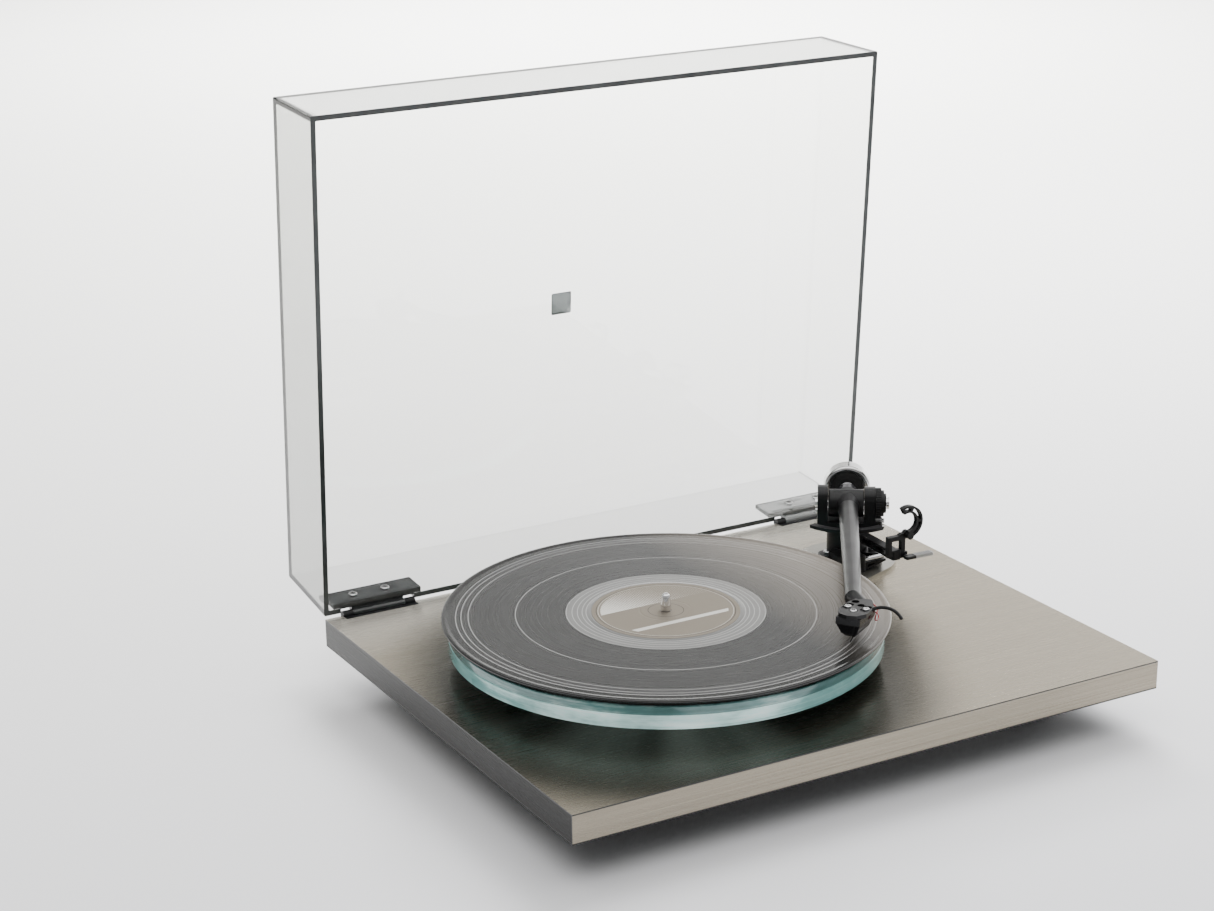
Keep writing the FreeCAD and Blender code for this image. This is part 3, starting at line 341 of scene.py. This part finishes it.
def felt():
    t = Tree("felt")
    coords = t.object_coords()
    fibre = t.noise(coords, 1400.0, 8.0, 0.75)
    clump = t.noise(coords, 260.0, 3.0)
    t.set(Base_Color=t.ramp(fibre, [(0.3, 0.006), (0.75, 0.030)]), Roughness=0.95, Sheen_Weight=0.35,
          Sheen_Roughness=0.5, Specular_IOR_Level=0.1)
    t.bump(t.math("ADD", fibre, t.math("MULTIPLY", clump, 0.6)), 0.0003, 0.9)
    return t.material


def clear_acrylic():
    """Clear, faintly grey sheet with fine wipe marks, a dark edge round its mouth and painted shade on its left
    wall.
    """
    t = Tree("clear_acrylic")
    coords = t.object_coords()
    wipe = t.noise(t.scaled(coords, (40, 40, 160)), detail=6.0, rough=0.7)
    x, y, z = t.split(coords)
    over_y = t.math("MULTIPLY", t.math("SUBTRACT", y, HINGE.y), math.sin(LID_OPEN))
    over_z = t.math("MULTIPLY", t.math("SUBTRACT", z, HINGE.z), math.cos(LID_OPEN))
    # from the mouth inwards
    depth = t.math("SUBTRACT", t.math("ADD", over_y, over_z), DECK_Z + LID_GAP - HINGE.z)
    edge = t.math("LESS_THAN", depth, RIM_DEPTH)
    cloud = t.noise(coords, 40.0, 3.0)
    dark = t.ramp(cloud, [(0.3, (0.022, 0.026, 0.025)), (0.8, (0.060, 0.066, 0.064))])
    # painted shade: the sheet is darker across the left wall
    shaded = t.math("LESS_THAN", x, LID_LEFT + LEFT_WALL)
    sheet = t.mix(shaded, (0.88, 0.885, 0.87), (0.57, 0.575, 0.56))
    t.set(Base_Color=t.mix(edge, sheet, dark), Transmission_Weight=t.math("SUBTRACT", 1.0, edge), IOR=1.49,
          Roughness=t.math("ADD", t.remap(wipe, 0.0, 0.02, 0.45, 0.75), t.math("MULTIPLY", edge, 0.18)))
    return t.material


def smoked_acrylic(name, dark, light, through):
    t = Tree(name)
    cloud = t.noise(t.object_coords(), 60.0, 3.0)
    t.set(Base_Color=t.ramp(cloud, [(0.3, dark), (0.8, light)]), Roughness=t.remap(cloud, 0.06, 0.10),
          Transmission_Weight=through, IOR=1.49)
    return t.material


# the colour of the painted glow, and of the palest painted highlight
GLOW = (0.78, 1.0, 0.975)
GLOW_TURN = math.radians(-125)       # the side of the platter at rest where the painted highlight on its edge is strongest


def platter_glass(name, colour, deep, glow, lit):
    """Thick float glass seen through its polished edge, with painted highlights and darker stretches round it.

    The stretches are painted highlights and the slight glow is a painted glow; both turn with the platter.
    """
    t = Tree(name)
    coords = t.object_coords()
    _, dx, dy = t.radius(SPINDLE, coords)
    turn = t.math("ARCTAN2", dy, dx)
    _, _, z = t.split(coords)
    round_edge = t.add("CombineXYZ", X=t.math("MULTIPLY", turn, 2.6), Y=0.0, Z=t.math("MULTIPLY", z, 60.0))
    sweep = t.noise(round_edge.outputs[0], 1.0, 4.0, 0.62)
    layer = t.noise(t.scaled(coords, (4, 4, 900)), detail=3.0, rough=0.6)
    # painted highlight: palest on the side towards GLOW_TURN
    facing = t.remap(t.math("COSINE", t.math("SUBTRACT", turn, GLOW_TURN)), 0.0, glow, 0.55, 1.0)
    amount = t.math("ADD", t.math("MULTIPLY", sweep, 0.75), t.math("MULTIPLY", layer, 0.25))
    amount = t.math("ADD", amount, facing)
    t.set(Base_Color=t.ramp(amount, [(0.34, deep), (0.62, colour), (0.84, GLOW)]),
          Roughness=t.remap(layer, 0.05, 0.12), Transmission_Weight=0.12, IOR=1.52,
          Coat_Weight=0.4, Coat_Roughness=0.04, Emission_Color=GLOW,
          Emission_Strength=t.math("MULTIPLY", t.remap(amount, 0.0, 0.66, 0.60, 0.94), lit))
    t.bump(layer, 0.0001, 0.08)
    return t.material


def turned_metal(name, dark, light, rough):
    t = Tree(name)
    _, _, z = t.split(t.object_coords())
    mark = t.noise(t.math("MULTIPLY", z, 5000.0), 1.0, 2.0, dimensions="1D")
    t.set(Base_Color=t.ramp(mark, [(0.3, dark), (0.7, light)]), Metallic=1.0,
          Roughness=t.remap(mark, rough, rough + 0.1))
    t.bump(mark, 0.00004, 0.3)
    return t.material


# radii on the record, from the spindle, in metres
LABEL_R = (label_hi.x - label_lo.x) / 2
RECORD_R = (record_hi.x - record_lo.x) / 2
RUN_OUT_R = 67.0 * MM
SPACERS = [101.0 * MM, 132.6 * MM, 137.4 * MM]      # plain stretches between the pieces
LEAD_IN_R = 141.0 * MM
RINGS = [53.6 * MM, 56.2 * MM, 59.4 * MM, 63.0 * MM]     # turns of the run-out groove
LINE_HALF = 0.30 * MM                                    # half the width of each of those lines
LIT_FROM, LIT_TO = 50 * MM, 150 * MM                     # where the painted sheen on the record's right side starts, and where it is full


def vinyl():
    """Pressed vinyl: fine grooves outside the run-out, smooth between, all by distance from the spindle."""
    t = Tree("vinyl")
    r, dx, _ = t.radius(SPINDLE)
    grooved = t.math("MULTIPLY", t.math("GREATER_THAN", r, RUN_OUT_R), t.math("LESS_THAN", r, LEAD_IN_R))
    lines = 0.0
    for place in [*SPACERS, LEAD_IN_R, RUN_OUT_R, *RINGS]:
        near = t.math("LESS_THAN", t.math("ABSOLUTE", t.math("SUBTRACT", r, place)), LINE_HALF)
        lines = t.math("MAXIMUM", near, lines)
    grooved = t.math("MULTIPLY", grooved, t.math("SUBTRACT", 1.0, lines))
    loud = t.noise(t.math("MULTIPLY", r, 700.0), 1.0, 6.0, 0.8, "1D")
    fine = t.noise(t.math("MULTIPLY", r, 5200.0), 1.0, 2.0, 0.6, "1D")
    rough = t.add("Mix", {"data_type": "FLOAT"})
    t.put(rough.inputs[0], grooved)
    t.put(rough.inputs[2], 0.16)
    t.put(rough.inputs[3], t.remap(loud, 0.25, 0.33, 0.3, 0.7))
    inner = t.math("LESS_THAN", r, RUN_OUT_R)
    body = t.ramp(loud, [(0.3, 0.009), (0.7, 0.020)])
    # painted reflection: the run-out is grey and the plain lines paler grey on the black vinyl
    tint = t.mix(t.math("MULTIPLY", inner, 0.9), body, (0.150, 0.150, 0.146))
    tint = t.mix(t.math("MULTIPLY", lines, 0.80), tint, (0.30, 0.30, 0.295))
    lit = t.remap(dx, 0.0, 0.8, LIT_FROM, LIT_TO)       # painted sheen, lighter towards the right: it turns with the record
    tint = t.mix(lit, tint, (0.190, 0.168, 0.142))
    t.set(Base_Color=tint, Roughness=rough.outputs[0], Anisotropic=0.6, Specular_IOR_Level=0.62)
    t.bump(t.math("MULTIPLY", fine, grooved), 0.00003, 0.25)
    return t.material


def label_paper():
    """Plain uncoated label: a tan field, a paler band across it, thin rings and a segment of dots."""
    t = Tree("label_paper")
    coords = t.object_coords()
    r, dx, dy = t.radius(SPINDLE, coords)
    fibre = t.noise(coords, 1600.0, 5.0, 0.7)
    tan = t.ramp(fibre, [(0.3, (0.140, 0.122, 0.096)), (0.8, (0.168, 0.149, 0.120))])
    pale = (0.46, 0.45, 0.42)
    dark = (0.045, 0.040, 0.034)
    # dots that grow towards one side, in a segment of the label
    dots = t.add("TexVoronoi", {"feature": "F1", "voronoi_dimensions": "2D"}, Scale=620.0, Randomness=0.0,
                 Vector=coords).outputs["Distance"]
    grow = t.remap(t.math("ADD", dx, dy), 0.62, 0.12, -0.020, 0.046)
    segment = t.math("MULTIPLY", t.math("GREATER_THAN", dy, 14.0 * MM), t.math("LESS_THAN", r, 44.0 * MM))
    inked = t.math("GREATER_THAN", t.math("SUBTRACT", grow, dots), 0.0)
    art = t.mix(t.math("MULTIPLY", segment, inked), tan, pale)
    low = t.math("MULTIPLY", t.math("LESS_THAN", t.math("ABSOLUTE", t.math("ADD", dy, 21.0 * MM)), 2.2 * MM),
                 t.math("LESS_THAN", r, 42.0 * MM))
    art = t.mix(low, art, pale)
    for place, half, colour in ((46.8, 0.30, dark), (45.6, 0.16, pale), (12.0, 0.25, dark)):
        ring = t.math("LESS_THAN", t.math("ABSOLUTE", t.math("SUBTRACT", r, place * MM)), half * MM)
        art = t.mix(ring, art, colour)
    t.set(Base_Color=art, Roughness=t.remap(fibre, 0.46, 0.60), Specular_IOR_Level=0.30)
    t.bump(fibre, 0.00004, 0.3)
    return t.material


def wire(name, colour):
    t = Tree(name)
    mottle = t.noise(t.object_coords(), 900.0, 2.0)
    t.set(Base_Color=t.ramp(mottle, [(0.3, tuple(c * 0.8 for c in colour)), (0.7, colour)]), Roughness=0.38)
    return t.material


def floor_surface():
    """A paper sweep, with painted light: a little darker and cooler in front, lighter and warmer behind."""
    t = Tree("studio_floor")
    coords = t.object_coords()
    cloud = t.noise(coords, 0.7, 2.0)
    _, y, _ = t.split(coords)
    shift = t.math("ADD", t.remap(y, 0.0, 1.0, -0.5, 1.6), t.math("MULTIPLY", cloud, 0.05))
    # painted light: the paper's colour runs from cooler and darker in front to warmer and lighter behind
    paper = [(0.0, (0.775, 0.782, 0.815)), (0.45, (0.82, 0.82, 0.818)), (1.0, (0.86, 0.862, 0.835))]
    t.set(Base_Color=t.ramp(shift, paper), Roughness=0.75, Specular_IOR_Level=0.2)
    return t.material


MATERIALS = {
    "laminate_x": brushed_laminate("brushed_laminate_top", 0, 2),
    # painted shade: the front and rear bands are darkened, the side bands almost to black
    "laminate_front": brushed_laminate("brushed_laminate_front", 0, 0, 0.58),
    "laminate_y": brushed_laminate("brushed_laminate_side", 1, 1, 0.01),
    "black_laminate": black_laminate(),
    "board": bare_board(),
    "brace": brushed_metal("brace_metal", (0.42, 0.405, 0.37), (0.56, 0.545, 0.50), 0.30, -0.39),
    "rubber": rubber(),
    "moulded": powder_coat("moulded_black", (0.008, 0.008, 0.0085), 0.42, 3000.0),
    "arm_black": powder_coat("arm_black", (0.010, 0.010, 0.0105), 0.33, 2600.0, 0.00003, 0.22),
    "brass": turned_metal("bearing_brass", (0.52, 0.36, 0.15), (0.72, 0.53, 0.26), 0.24),
    "steel": brushed_metal("steel", (0.45, 0.45, 0.45), (0.60, 0.60, 0.60), 0.28),
    "chrome": polished("chrome", (0.83, 0.83, 0.84), 0.05),
    "weight": turned_weight(),
    "cue": cue_moulding(),
    "pulley": turned_metal("pulley_metal", (0.55, 0.55, 0.56), (0.72, 0.72, 0.73), 0.2),
    # painted light: the lower glass gets the full painted glow, the upper glass a weak one
    "glass_low": platter_glass("teal_glass_lower", (0.38, 0.74, 0.71), (0.14, 0.36, 0.345), 0.26, 1.0),
    "glass_up": platter_glass("teal_glass_upper", (0.16, 0.34, 0.33), (0.045, 0.11, 0.11), 0.13, 0.16),
    "felt": felt(),
    "vinyl": vinyl(),
    "label": label_paper(),
    "cartridge": gloss_moulding("cartridge_gloss", (0.004, 0.004, 0.005)),
    "acrylic": clear_acrylic(),
    "smoked": smoked_acrylic("smoked_acrylic", (0.20, 0.23, 0.23), (0.30, 0.33, 0.33), 0.55),
    # the hinge leaves are one smoked acrylic: painted shade on the left leaf, painted light on the right
    "smoked_shaded_copy": smoked_acrylic("smoked_acrylic_painted_shade", (0.030, 0.032, 0.032), (0.060, 0.063, 0.063), 0.35),
    "smoked_lit_copy": smoked_acrylic("smoked_acrylic_painted_light", (0.36, 0.365, 0.36), (0.39, 0.395, 0.39), 0.65),
    "platter_black": turned_metal("platter_black", (0.02, 0.02, 0.02), (0.035, 0.035, 0.035), 0.4),
}
NODE_MATERIALS = {
    "plinth_core": "board", "top_skin": "laminate_x", "bottom_skin": "black_laminate",
    "front_edge_band": "laminate_front", "rear_edge_band": "laminate_front",
    "left_edge_band": "laminate_y", "right_edge_band": "laminate_y", "top_brace": "brace",
    "bottom_brace": "black_laminate", "plinth_screws": "steel", "foot_front_left": "moulded",
    "foot_front_right": "moulded", "foot_rear": "moulded", "foot_pads": "rubber",
    "switch_bezel": "moulded", "power_switch": "moulded", "power_inlet": "moulded",
    "lead_gland": "rubber", "bearing_housing": "brass", "bearing_nut": "brass", "motor_can": "steel",
    "motor_shaft": "steel", "motor_pulley": "pulley", "motor_cover": "moulded", "drive_belt": "rubber",
    "subplatter": "platter_black", "spindle": "chrome", "platter_lower_glass": "glass_low",
    "platter_upper_glass": "glass_up", "felt_mat": "felt", "arm_tube": "arm_black", "rear_stub": "chrome",
    "finger_lift": "arm_black", "cartridge_body": "cartridge", "stylus_assembly": "cartridge",
    "cartridge_screws": "chrome", "counterweight": "weight", "counterweight_bush": "rubber",
    "arm_yoke": "arm_black", "yoke_screws": "chrome", "tracking_dial": "moulded", "dial_screw": "chrome",
    "tonearm_base": "arm_black", "arm_base_screws": "chrome", "bias_slider": "chrome",
    "arm_rest": "moulded", "cue_lever": "cue", "arm_clip": "moulded", "lift_platform": "moulded",
    "lid_cover": "acrylic", "lid_badge": "smoked", "hinge_leaf_left": "smoked_shaded_copy",
    "hinge_leaf_right": "smoked_lit_copy", "hinge_leaf_screws": "chrome", "hinge_base_left": "moulded",
    "hinge_base_right": "moulded", "hinge_pins": "platter_black",
}
for node_name, key in NODE_MATERIALS.items():
    mesh = NODES[node_name].data
    mesh.materials.clear()
    mesh.materials.append(MATERIALS[key])


# ---- mesh tools ----
def piece(name, mesh, material, body):
    obj = bpy.data.objects.new(name, mesh)
    bpy.context.scene.collection.objects.link(obj)
    mesh.materials.append(material)
    for polygon in mesh.polygons:
        polygon.use_smooth = True
    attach(obj, body)
    return obj


def held_flat(loop, near=0.25 * MM, long=1.5 * MM):
    """The loop with points added near the ends of its long sides, so smooth shading keeps them flat."""
    points = []
    for i, (r, z) in enumerate(loop):
        next_r, next_z = loop[(i + 1) % len(loop)]
        length = math.hypot(next_r - r, next_z - z)
        points.append((r, z))
        if length > long:
            for k in (near / length, 1 - near / length):
                points.append((r + (next_r - r) * k, z + (next_z - z) * k))
    return points


def turned_mesh(name, profile, centre, segments=192):
    """A closed solid of revolution about a vertical axis, from a closed loop of (radius, height) points."""
    profile = held_flat(profile)
    bm = bmesh.new()
    rows = []
    for i in range(segments):
        a = 2 * math.pi * i / segments
        across, along = math.cos(a), math.sin(a)
        rows.append([bm.verts.new((centre[0] + r * across, centre[1] + r * along, z)) for r, z in profile])
    for i in range(segments):
        one, two = rows[i], rows[(i + 1) % segments]
        for j in range(len(profile)):
            k = (j + 1) % len(profile)
            bm.faces.new((one[j], two[j], two[k], one[k]))
    bmesh.ops.recalc_face_normals(bm, faces=bm.faces)
    mesh = bpy.data.meshes.new(name)
    bm.to_mesh(mesh)
    bm.free()
    return mesh


def tube_mesh(name, points, radii, segments=14):
    """A round tube with closed ends along a line of points, with a radius at each."""
    bm = bmesh.new()
    rows = []
    across = Vector((0, 0, 1))
    for i, (p, radius) in enumerate(zip(points, radii)):
        ahead = (points[min(i + 1, len(points) - 1)] - points[max(i - 1, 0)]).normalized()
        across = (across - ahead * across.dot(ahead)).normalized()
        other = ahead.cross(across)
        turns = [2 * math.pi * k / segments for k in range(segments)]
        rows.append([bm.verts.new(p + radius * (math.cos(a) * across + math.sin(a) * other)) for a in turns])
    for one, two in zip(rows, rows[1:]):
        for k in range(segments):
            m = (k + 1) % segments
            bm.faces.new((one[k], one[m], two[m], two[k]))
    bm.faces.new(rows[0])
    bm.faces.new(rows[-1])
    bmesh.ops.recalc_face_normals(bm, faces=bm.faces)
    mesh = bpy.data.meshes.new(name)
    bm.to_mesh(mesh)
    bm.free()
    return mesh


# ---- record and label ----
def make_record():
    z_low, z_rim = record_lo.z, record_hi.z
    z_groove = z_rim - 0.4 * MM
    z_label = z_rim - 0.2 * MM
    step = 0.05 * MM
    profile = [(3.65 * MM, z_low), (52.0 * MM, z_low), (53.5 * MM, z_low + 0.3 * MM),
               (145.0 * MM, z_low + 0.3 * MM), (146.5 * MM, z_low)]
    for i in range(9):      # the round bead of the outer edge
        a = -math.pi / 2 + math.pi * i / 8
        half = (z_rim - z_low) / 2
        profile.append((RECORD_R - 1.0 * MM + 1.0 * MM * math.cos(a), z_low + half + half * math.sin(a)))
    profile += [(RECORD_R - 2.4 * MM, z_rim), (RECORD_R - 3.4 * MM, z_rim - 0.1 * MM)]
    profile += [(RECORD_R - 4.6 * MM, z_groove)]
    for place in reversed([*SPACERS, LEAD_IN_R]):
        profile += [(place + 0.6 * MM, z_groove), (place + 0.45 * MM, z_groove - step),
                    (place - 0.45 * MM, z_groove - step), (place - 0.6 * MM, z_groove)]
    profile += [(RUN_OUT_R + 0.3 * MM, z_groove), (RUN_OUT_R, z_groove - step)]
    for place in reversed(RINGS):
        profile += [(place + 0.35 * MM, z_groove - step), (place, z_groove - 3 * step),
                    (place - 0.35 * MM, z_groove - step)]
    profile += [(52.4 * MM, z_groove - step), (51.4 * MM, z_label), (3.65 * MM, z_label)]
    obj = piece("record_pressing", turned_mesh("record_pressing", profile, SPINDLE, 256), MATERIALS["vinyl"],
                "platter")
    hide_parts("record")


def make_label():
    z_low, z_top = label_lo.z, label_hi.z
    dip = 0.10 * MM
    profile = [(3.8 * MM, z_low), (LABEL_R, z_low), (LABEL_R, z_top - 0.05 * MM), (LABEL_R - 0.1 * MM, z_top)]
    profile += [(18.4 * MM, z_top), (17.9 * MM, z_top - dip), (16.9 * MM, z_top - dip), (16.4 * MM, z_top)]
    profile += [(3.9 * MM, z_top), (3.8 * MM, z_top - 0.05 * MM)]
    obj = piece("label_disc", turned_mesh("label_disc", profile, SPINDLE, 192), MATERIALS["label"],
                "platter")
    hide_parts("record_label")


# ---- the four leads between the cartridge's pins and the tube ----
# a point of the headshell: ahead of the cartridge screws, outward, and above the tube's axis, in millimetres
HEAD_TURN = math.radians(-23.9)
STYLUS_AT, STYLUS_ASIDE, STYLUS_AHEAD = 237.0, -2.1, 9.5
PINS = (-5.4, -1.8, 1.8, 5.4)


def headshell_point(ahead, outward, height):
    back = STYLUS_AHEAD - ahead
    along = STYLUS_AT - back * math.cos(HEAD_TURN) - outward * math.sin(HEAD_TURN)
    aside = STYLUS_ASIDE - back * math.sin(HEAD_TURN) + outward * math.cos(HEAD_TURN)
    side = Vector((0, 0, 1)).cross(ARM_AXIS).normalized()
    up = ARM_AXIS.cross(side)
    return PIVOT + (ARM_AXIS * along + side * aside + up * height) * MM


def smooth_line(points, steps=6):
    """Points on a smooth curve through the given ones."""
    line = []
    for i in range(len(points) - 1):
        a, b, c, d = (points[min(max(k, 0), len(points) - 1)] for k in (i - 1, i, i + 1, i + 2))
        for n in range(steps):
            k = n / steps
            line.append(0.5 * (2 * b + (c - a) * k + (2 * a - 5 * b + 4 * c - d) * k ** 2
                               + (3 * b - a - 3 * c + d) * k ** 3))
    return line + [points[-1]]


def make_leads():
    colours = {"white": (0.62, 0.62, 0.60), "blue": (0.02, 0.06, 0.38), "green": (0.02, 0.20, 0.06),
               "red": (0.24, 0.010, 0.012)}
    for (colour, shade), pin in zip(colours.items(), PINS):
        if colour == "red":     # the one that bows out past the headshell's side
            route = [(-11.6, 5.4, -3.0), (-14.0, 5.6, -3.2), (-15.6, 7.6, -4.2), (-13.0, 10.0, -5.4),
                     (-8.0, 11.2, -6.0), (-5.4, 10.6, -5.0), (-8.0, 10.2, -2.6), (-13.5, 9.0, -1.4),
                     (-18.0, 5.6, -0.8), (-21.0, 2.4, -0.4)]
        else:
            route = [(-11.6, pin, -3.0), (-14.0, pin, -3.2), (-16.4, pin * 1.3, -4.2),
                     (-18.6, pin * 1.35, -3.2), (-20.2, pin * 0.9, -1.4), (-21.4, pin * 0.45, -0.3)]
        line = smooth_line([headshell_point(*place) for place in route])
        radii = [0.80 * MM if i < 6 else 0.42 * MM for i in range(len(line))]
        name = "lead_" + colour
        piece(name, tube_mesh(name, line, radii), wire("wire_" + colour, shade), "tonearm")
    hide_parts("cartridge_leads")


make_record()
make_label()
make_leads()

# the lid lets the lamps through: it casts no shadow
NODES["lid_cover"].visible_shadow = False


# ---- stage: floor, lamps, sky and camera ----
FLOOR_R, FLOOR_DROP = 14.0, 0.0004


def make_floor():
    bm = bmesh.new()
    bmesh.ops.create_circle(bm, cap_ends=True, segments=96, radius=FLOOR_R)
    mesh = bpy.data.meshes.new("studio_floor")
    bm.to_mesh(mesh)
    bm.free()
    floor = bpy.data.objects.new("studio_floor", mesh)
    floor.location.z = -FLOOR_DROP
    mesh.materials.append(floor_surface())
    bpy.context.scene.collection.objects.link(floor)


def lamp(name, place, target, size, watts):
    data = bpy.data.lights.new(name, "AREA")
    data.shape = "RECTANGLE"
    data.size, data.size_y = size
    data.energy = watts
    obj = bpy.data.objects.new(name, data)
    obj.location = place
    obj.rotation_euler = (Vector(target) - Vector(place)).to_track_quat("-Z", "Y").to_euler()
    bpy.context.scene.collection.objects.link(obj)
    return obj


def make_sky():
    """A soft room: bright overhead and low behind the player, dimmer between, and dim behind the camera."""
    world = bpy.data.worlds.new("studio")
    bpy.context.scene.world = world
    world.use_nodes = True
    nodes, links = world.node_tree.nodes, world.node_tree.links
    nodes.clear()

    def ramp(value, stops):
        node = nodes.new("ShaderNodeValToRGB")
        elements = node.color_ramp.elements
        while len(elements) < len(stops):
            elements.new(1.0)
        for element, (place, grey) in zip(elements, stops):
            element.position = place
            element.color = (grey, grey, grey, 1)
        links.new(value, node.inputs[0])
        return node.outputs[0]

    def combined(operation, a, b):
        node = nodes.new("ShaderNodeMath")
        node.operation = operation
        links.new(a, node.inputs[0])
        links.new(b, node.inputs[1])
        return node.outputs[0]

    direction = nodes.new("ShaderNodeTexCoord").outputs["Generated"]
    split = nodes.new("ShaderNodeSeparateXYZ")
    links.new(direction, split.inputs[0])
    toward = nodes.new("ShaderNodeVectorMath")
    toward.operation = "DOT_PRODUCT"
    toward.inputs[1].default_value = Vector(BRIGHT_SIDE).normalized()
    links.new(direction, toward.inputs[0])
    across = nodes.new("ShaderNodeMapRange")
    across.inputs[1].default_value = -1.0
    links.new(toward.outputs["Value"], across.inputs[0])
    low = ramp(split.outputs[2], SKY_LOW)
    side = ramp(across.outputs[0], SKY_SIDE)
    top = ramp(split.outputs[2], SKY_TOP)
    back = nodes.new("ShaderNodeBackground")
    links.new(combined("ADD", combined("MULTIPLY", low, side), top), back.inputs[1])
    out = nodes.new("ShaderNodeOutputWorld")
    links.new(back.outputs[0], out.inputs[0])
    back.inputs[0].default_value = (1.0, 0.995, 0.985, 1)


# brightness of the sky: low down by height, by side, and overhead
BRIGHT_SIDE = (0.80, 0.60, 0.0)
SKY_LOW = [(0.0, 2.2), (0.30, 2.0), (0.36, 0.85), (0.46, 0.42), (0.60, 0.35)]
SKY_SIDE = [(0.20, 0.20), (0.55, 0.26), (0.86, 0.60), (1.0, 1.35)]
SKY_TOP = [(0.55, 0.0), (0.80, 1.9), (1.0, 2.3)]

# the camera looks at a point just left of the platter's spindle, from the front left and above
VIEW_AZIMUTH, VIEW_ELEVATION, VIEW_ROLL = 29.330, 20.562, -0.786
VIEW_DISTANCE = 1.66791
VIEW_TARGET = Vector((-0.10712, -0.05281, 0.13866))
LENS_MM, SENSOR_MM = 76.381, 36.0
SHIFT_UP = 0.08


def make_camera():
    a, e = math.radians(VIEW_AZIMUTH), math.radians(VIEW_ELEVATION)
    back = Vector((-math.sin(a) * math.cos(e), -math.cos(a) * math.cos(e), math.sin(e)))
    data = bpy.data.cameras.new("camera")
    data.lens = LENS_MM
    data.sensor_width = SENSOR_MM
    data.shift_y = SHIFT_UP
    data.clip_start = 0.01
    data.clip_end = 60.0
    camera = bpy.data.objects.new("camera", data)
    turn = (-back).to_track_quat("-Z", "Y")
    roll = Matrix.Rotation(math.radians(VIEW_ROLL), 4, back)
    place = Matrix.Translation(VIEW_TARGET + back * VIEW_DISTANCE)
    camera.matrix_world = place @ roll @ turn.to_matrix().to_4x4()
    bpy.context.scene.collection.objects.link(camera)
    bpy.context.scene.camera = camera


make_floor()
make_sky()
for name, place, target, size, watts in (("softbox_back", (1.5, 2.6, 1.5), (1.4, 2.5, 0), (1.6, 1.2), 210.0),
                                         ("softbox_near", (0.9, 0.9, 1.3), (0.7, 0.8, 0), (1.2, 1.0), 52.0)):
    sweep_light = lamp(name, place, target, size, watts)
    # it lights the sweep; the sky alone shows in the metal and the record
    sweep_light.visible_glossy = False
    sweep_light.visible_transmission = False
lamp("softbox_right", (1.9, 0.4, 1.3), (0.1, 0.0, 0), (0.5, 0.5), 5.0)
make_camera()

bpy.context.view_layer.update()
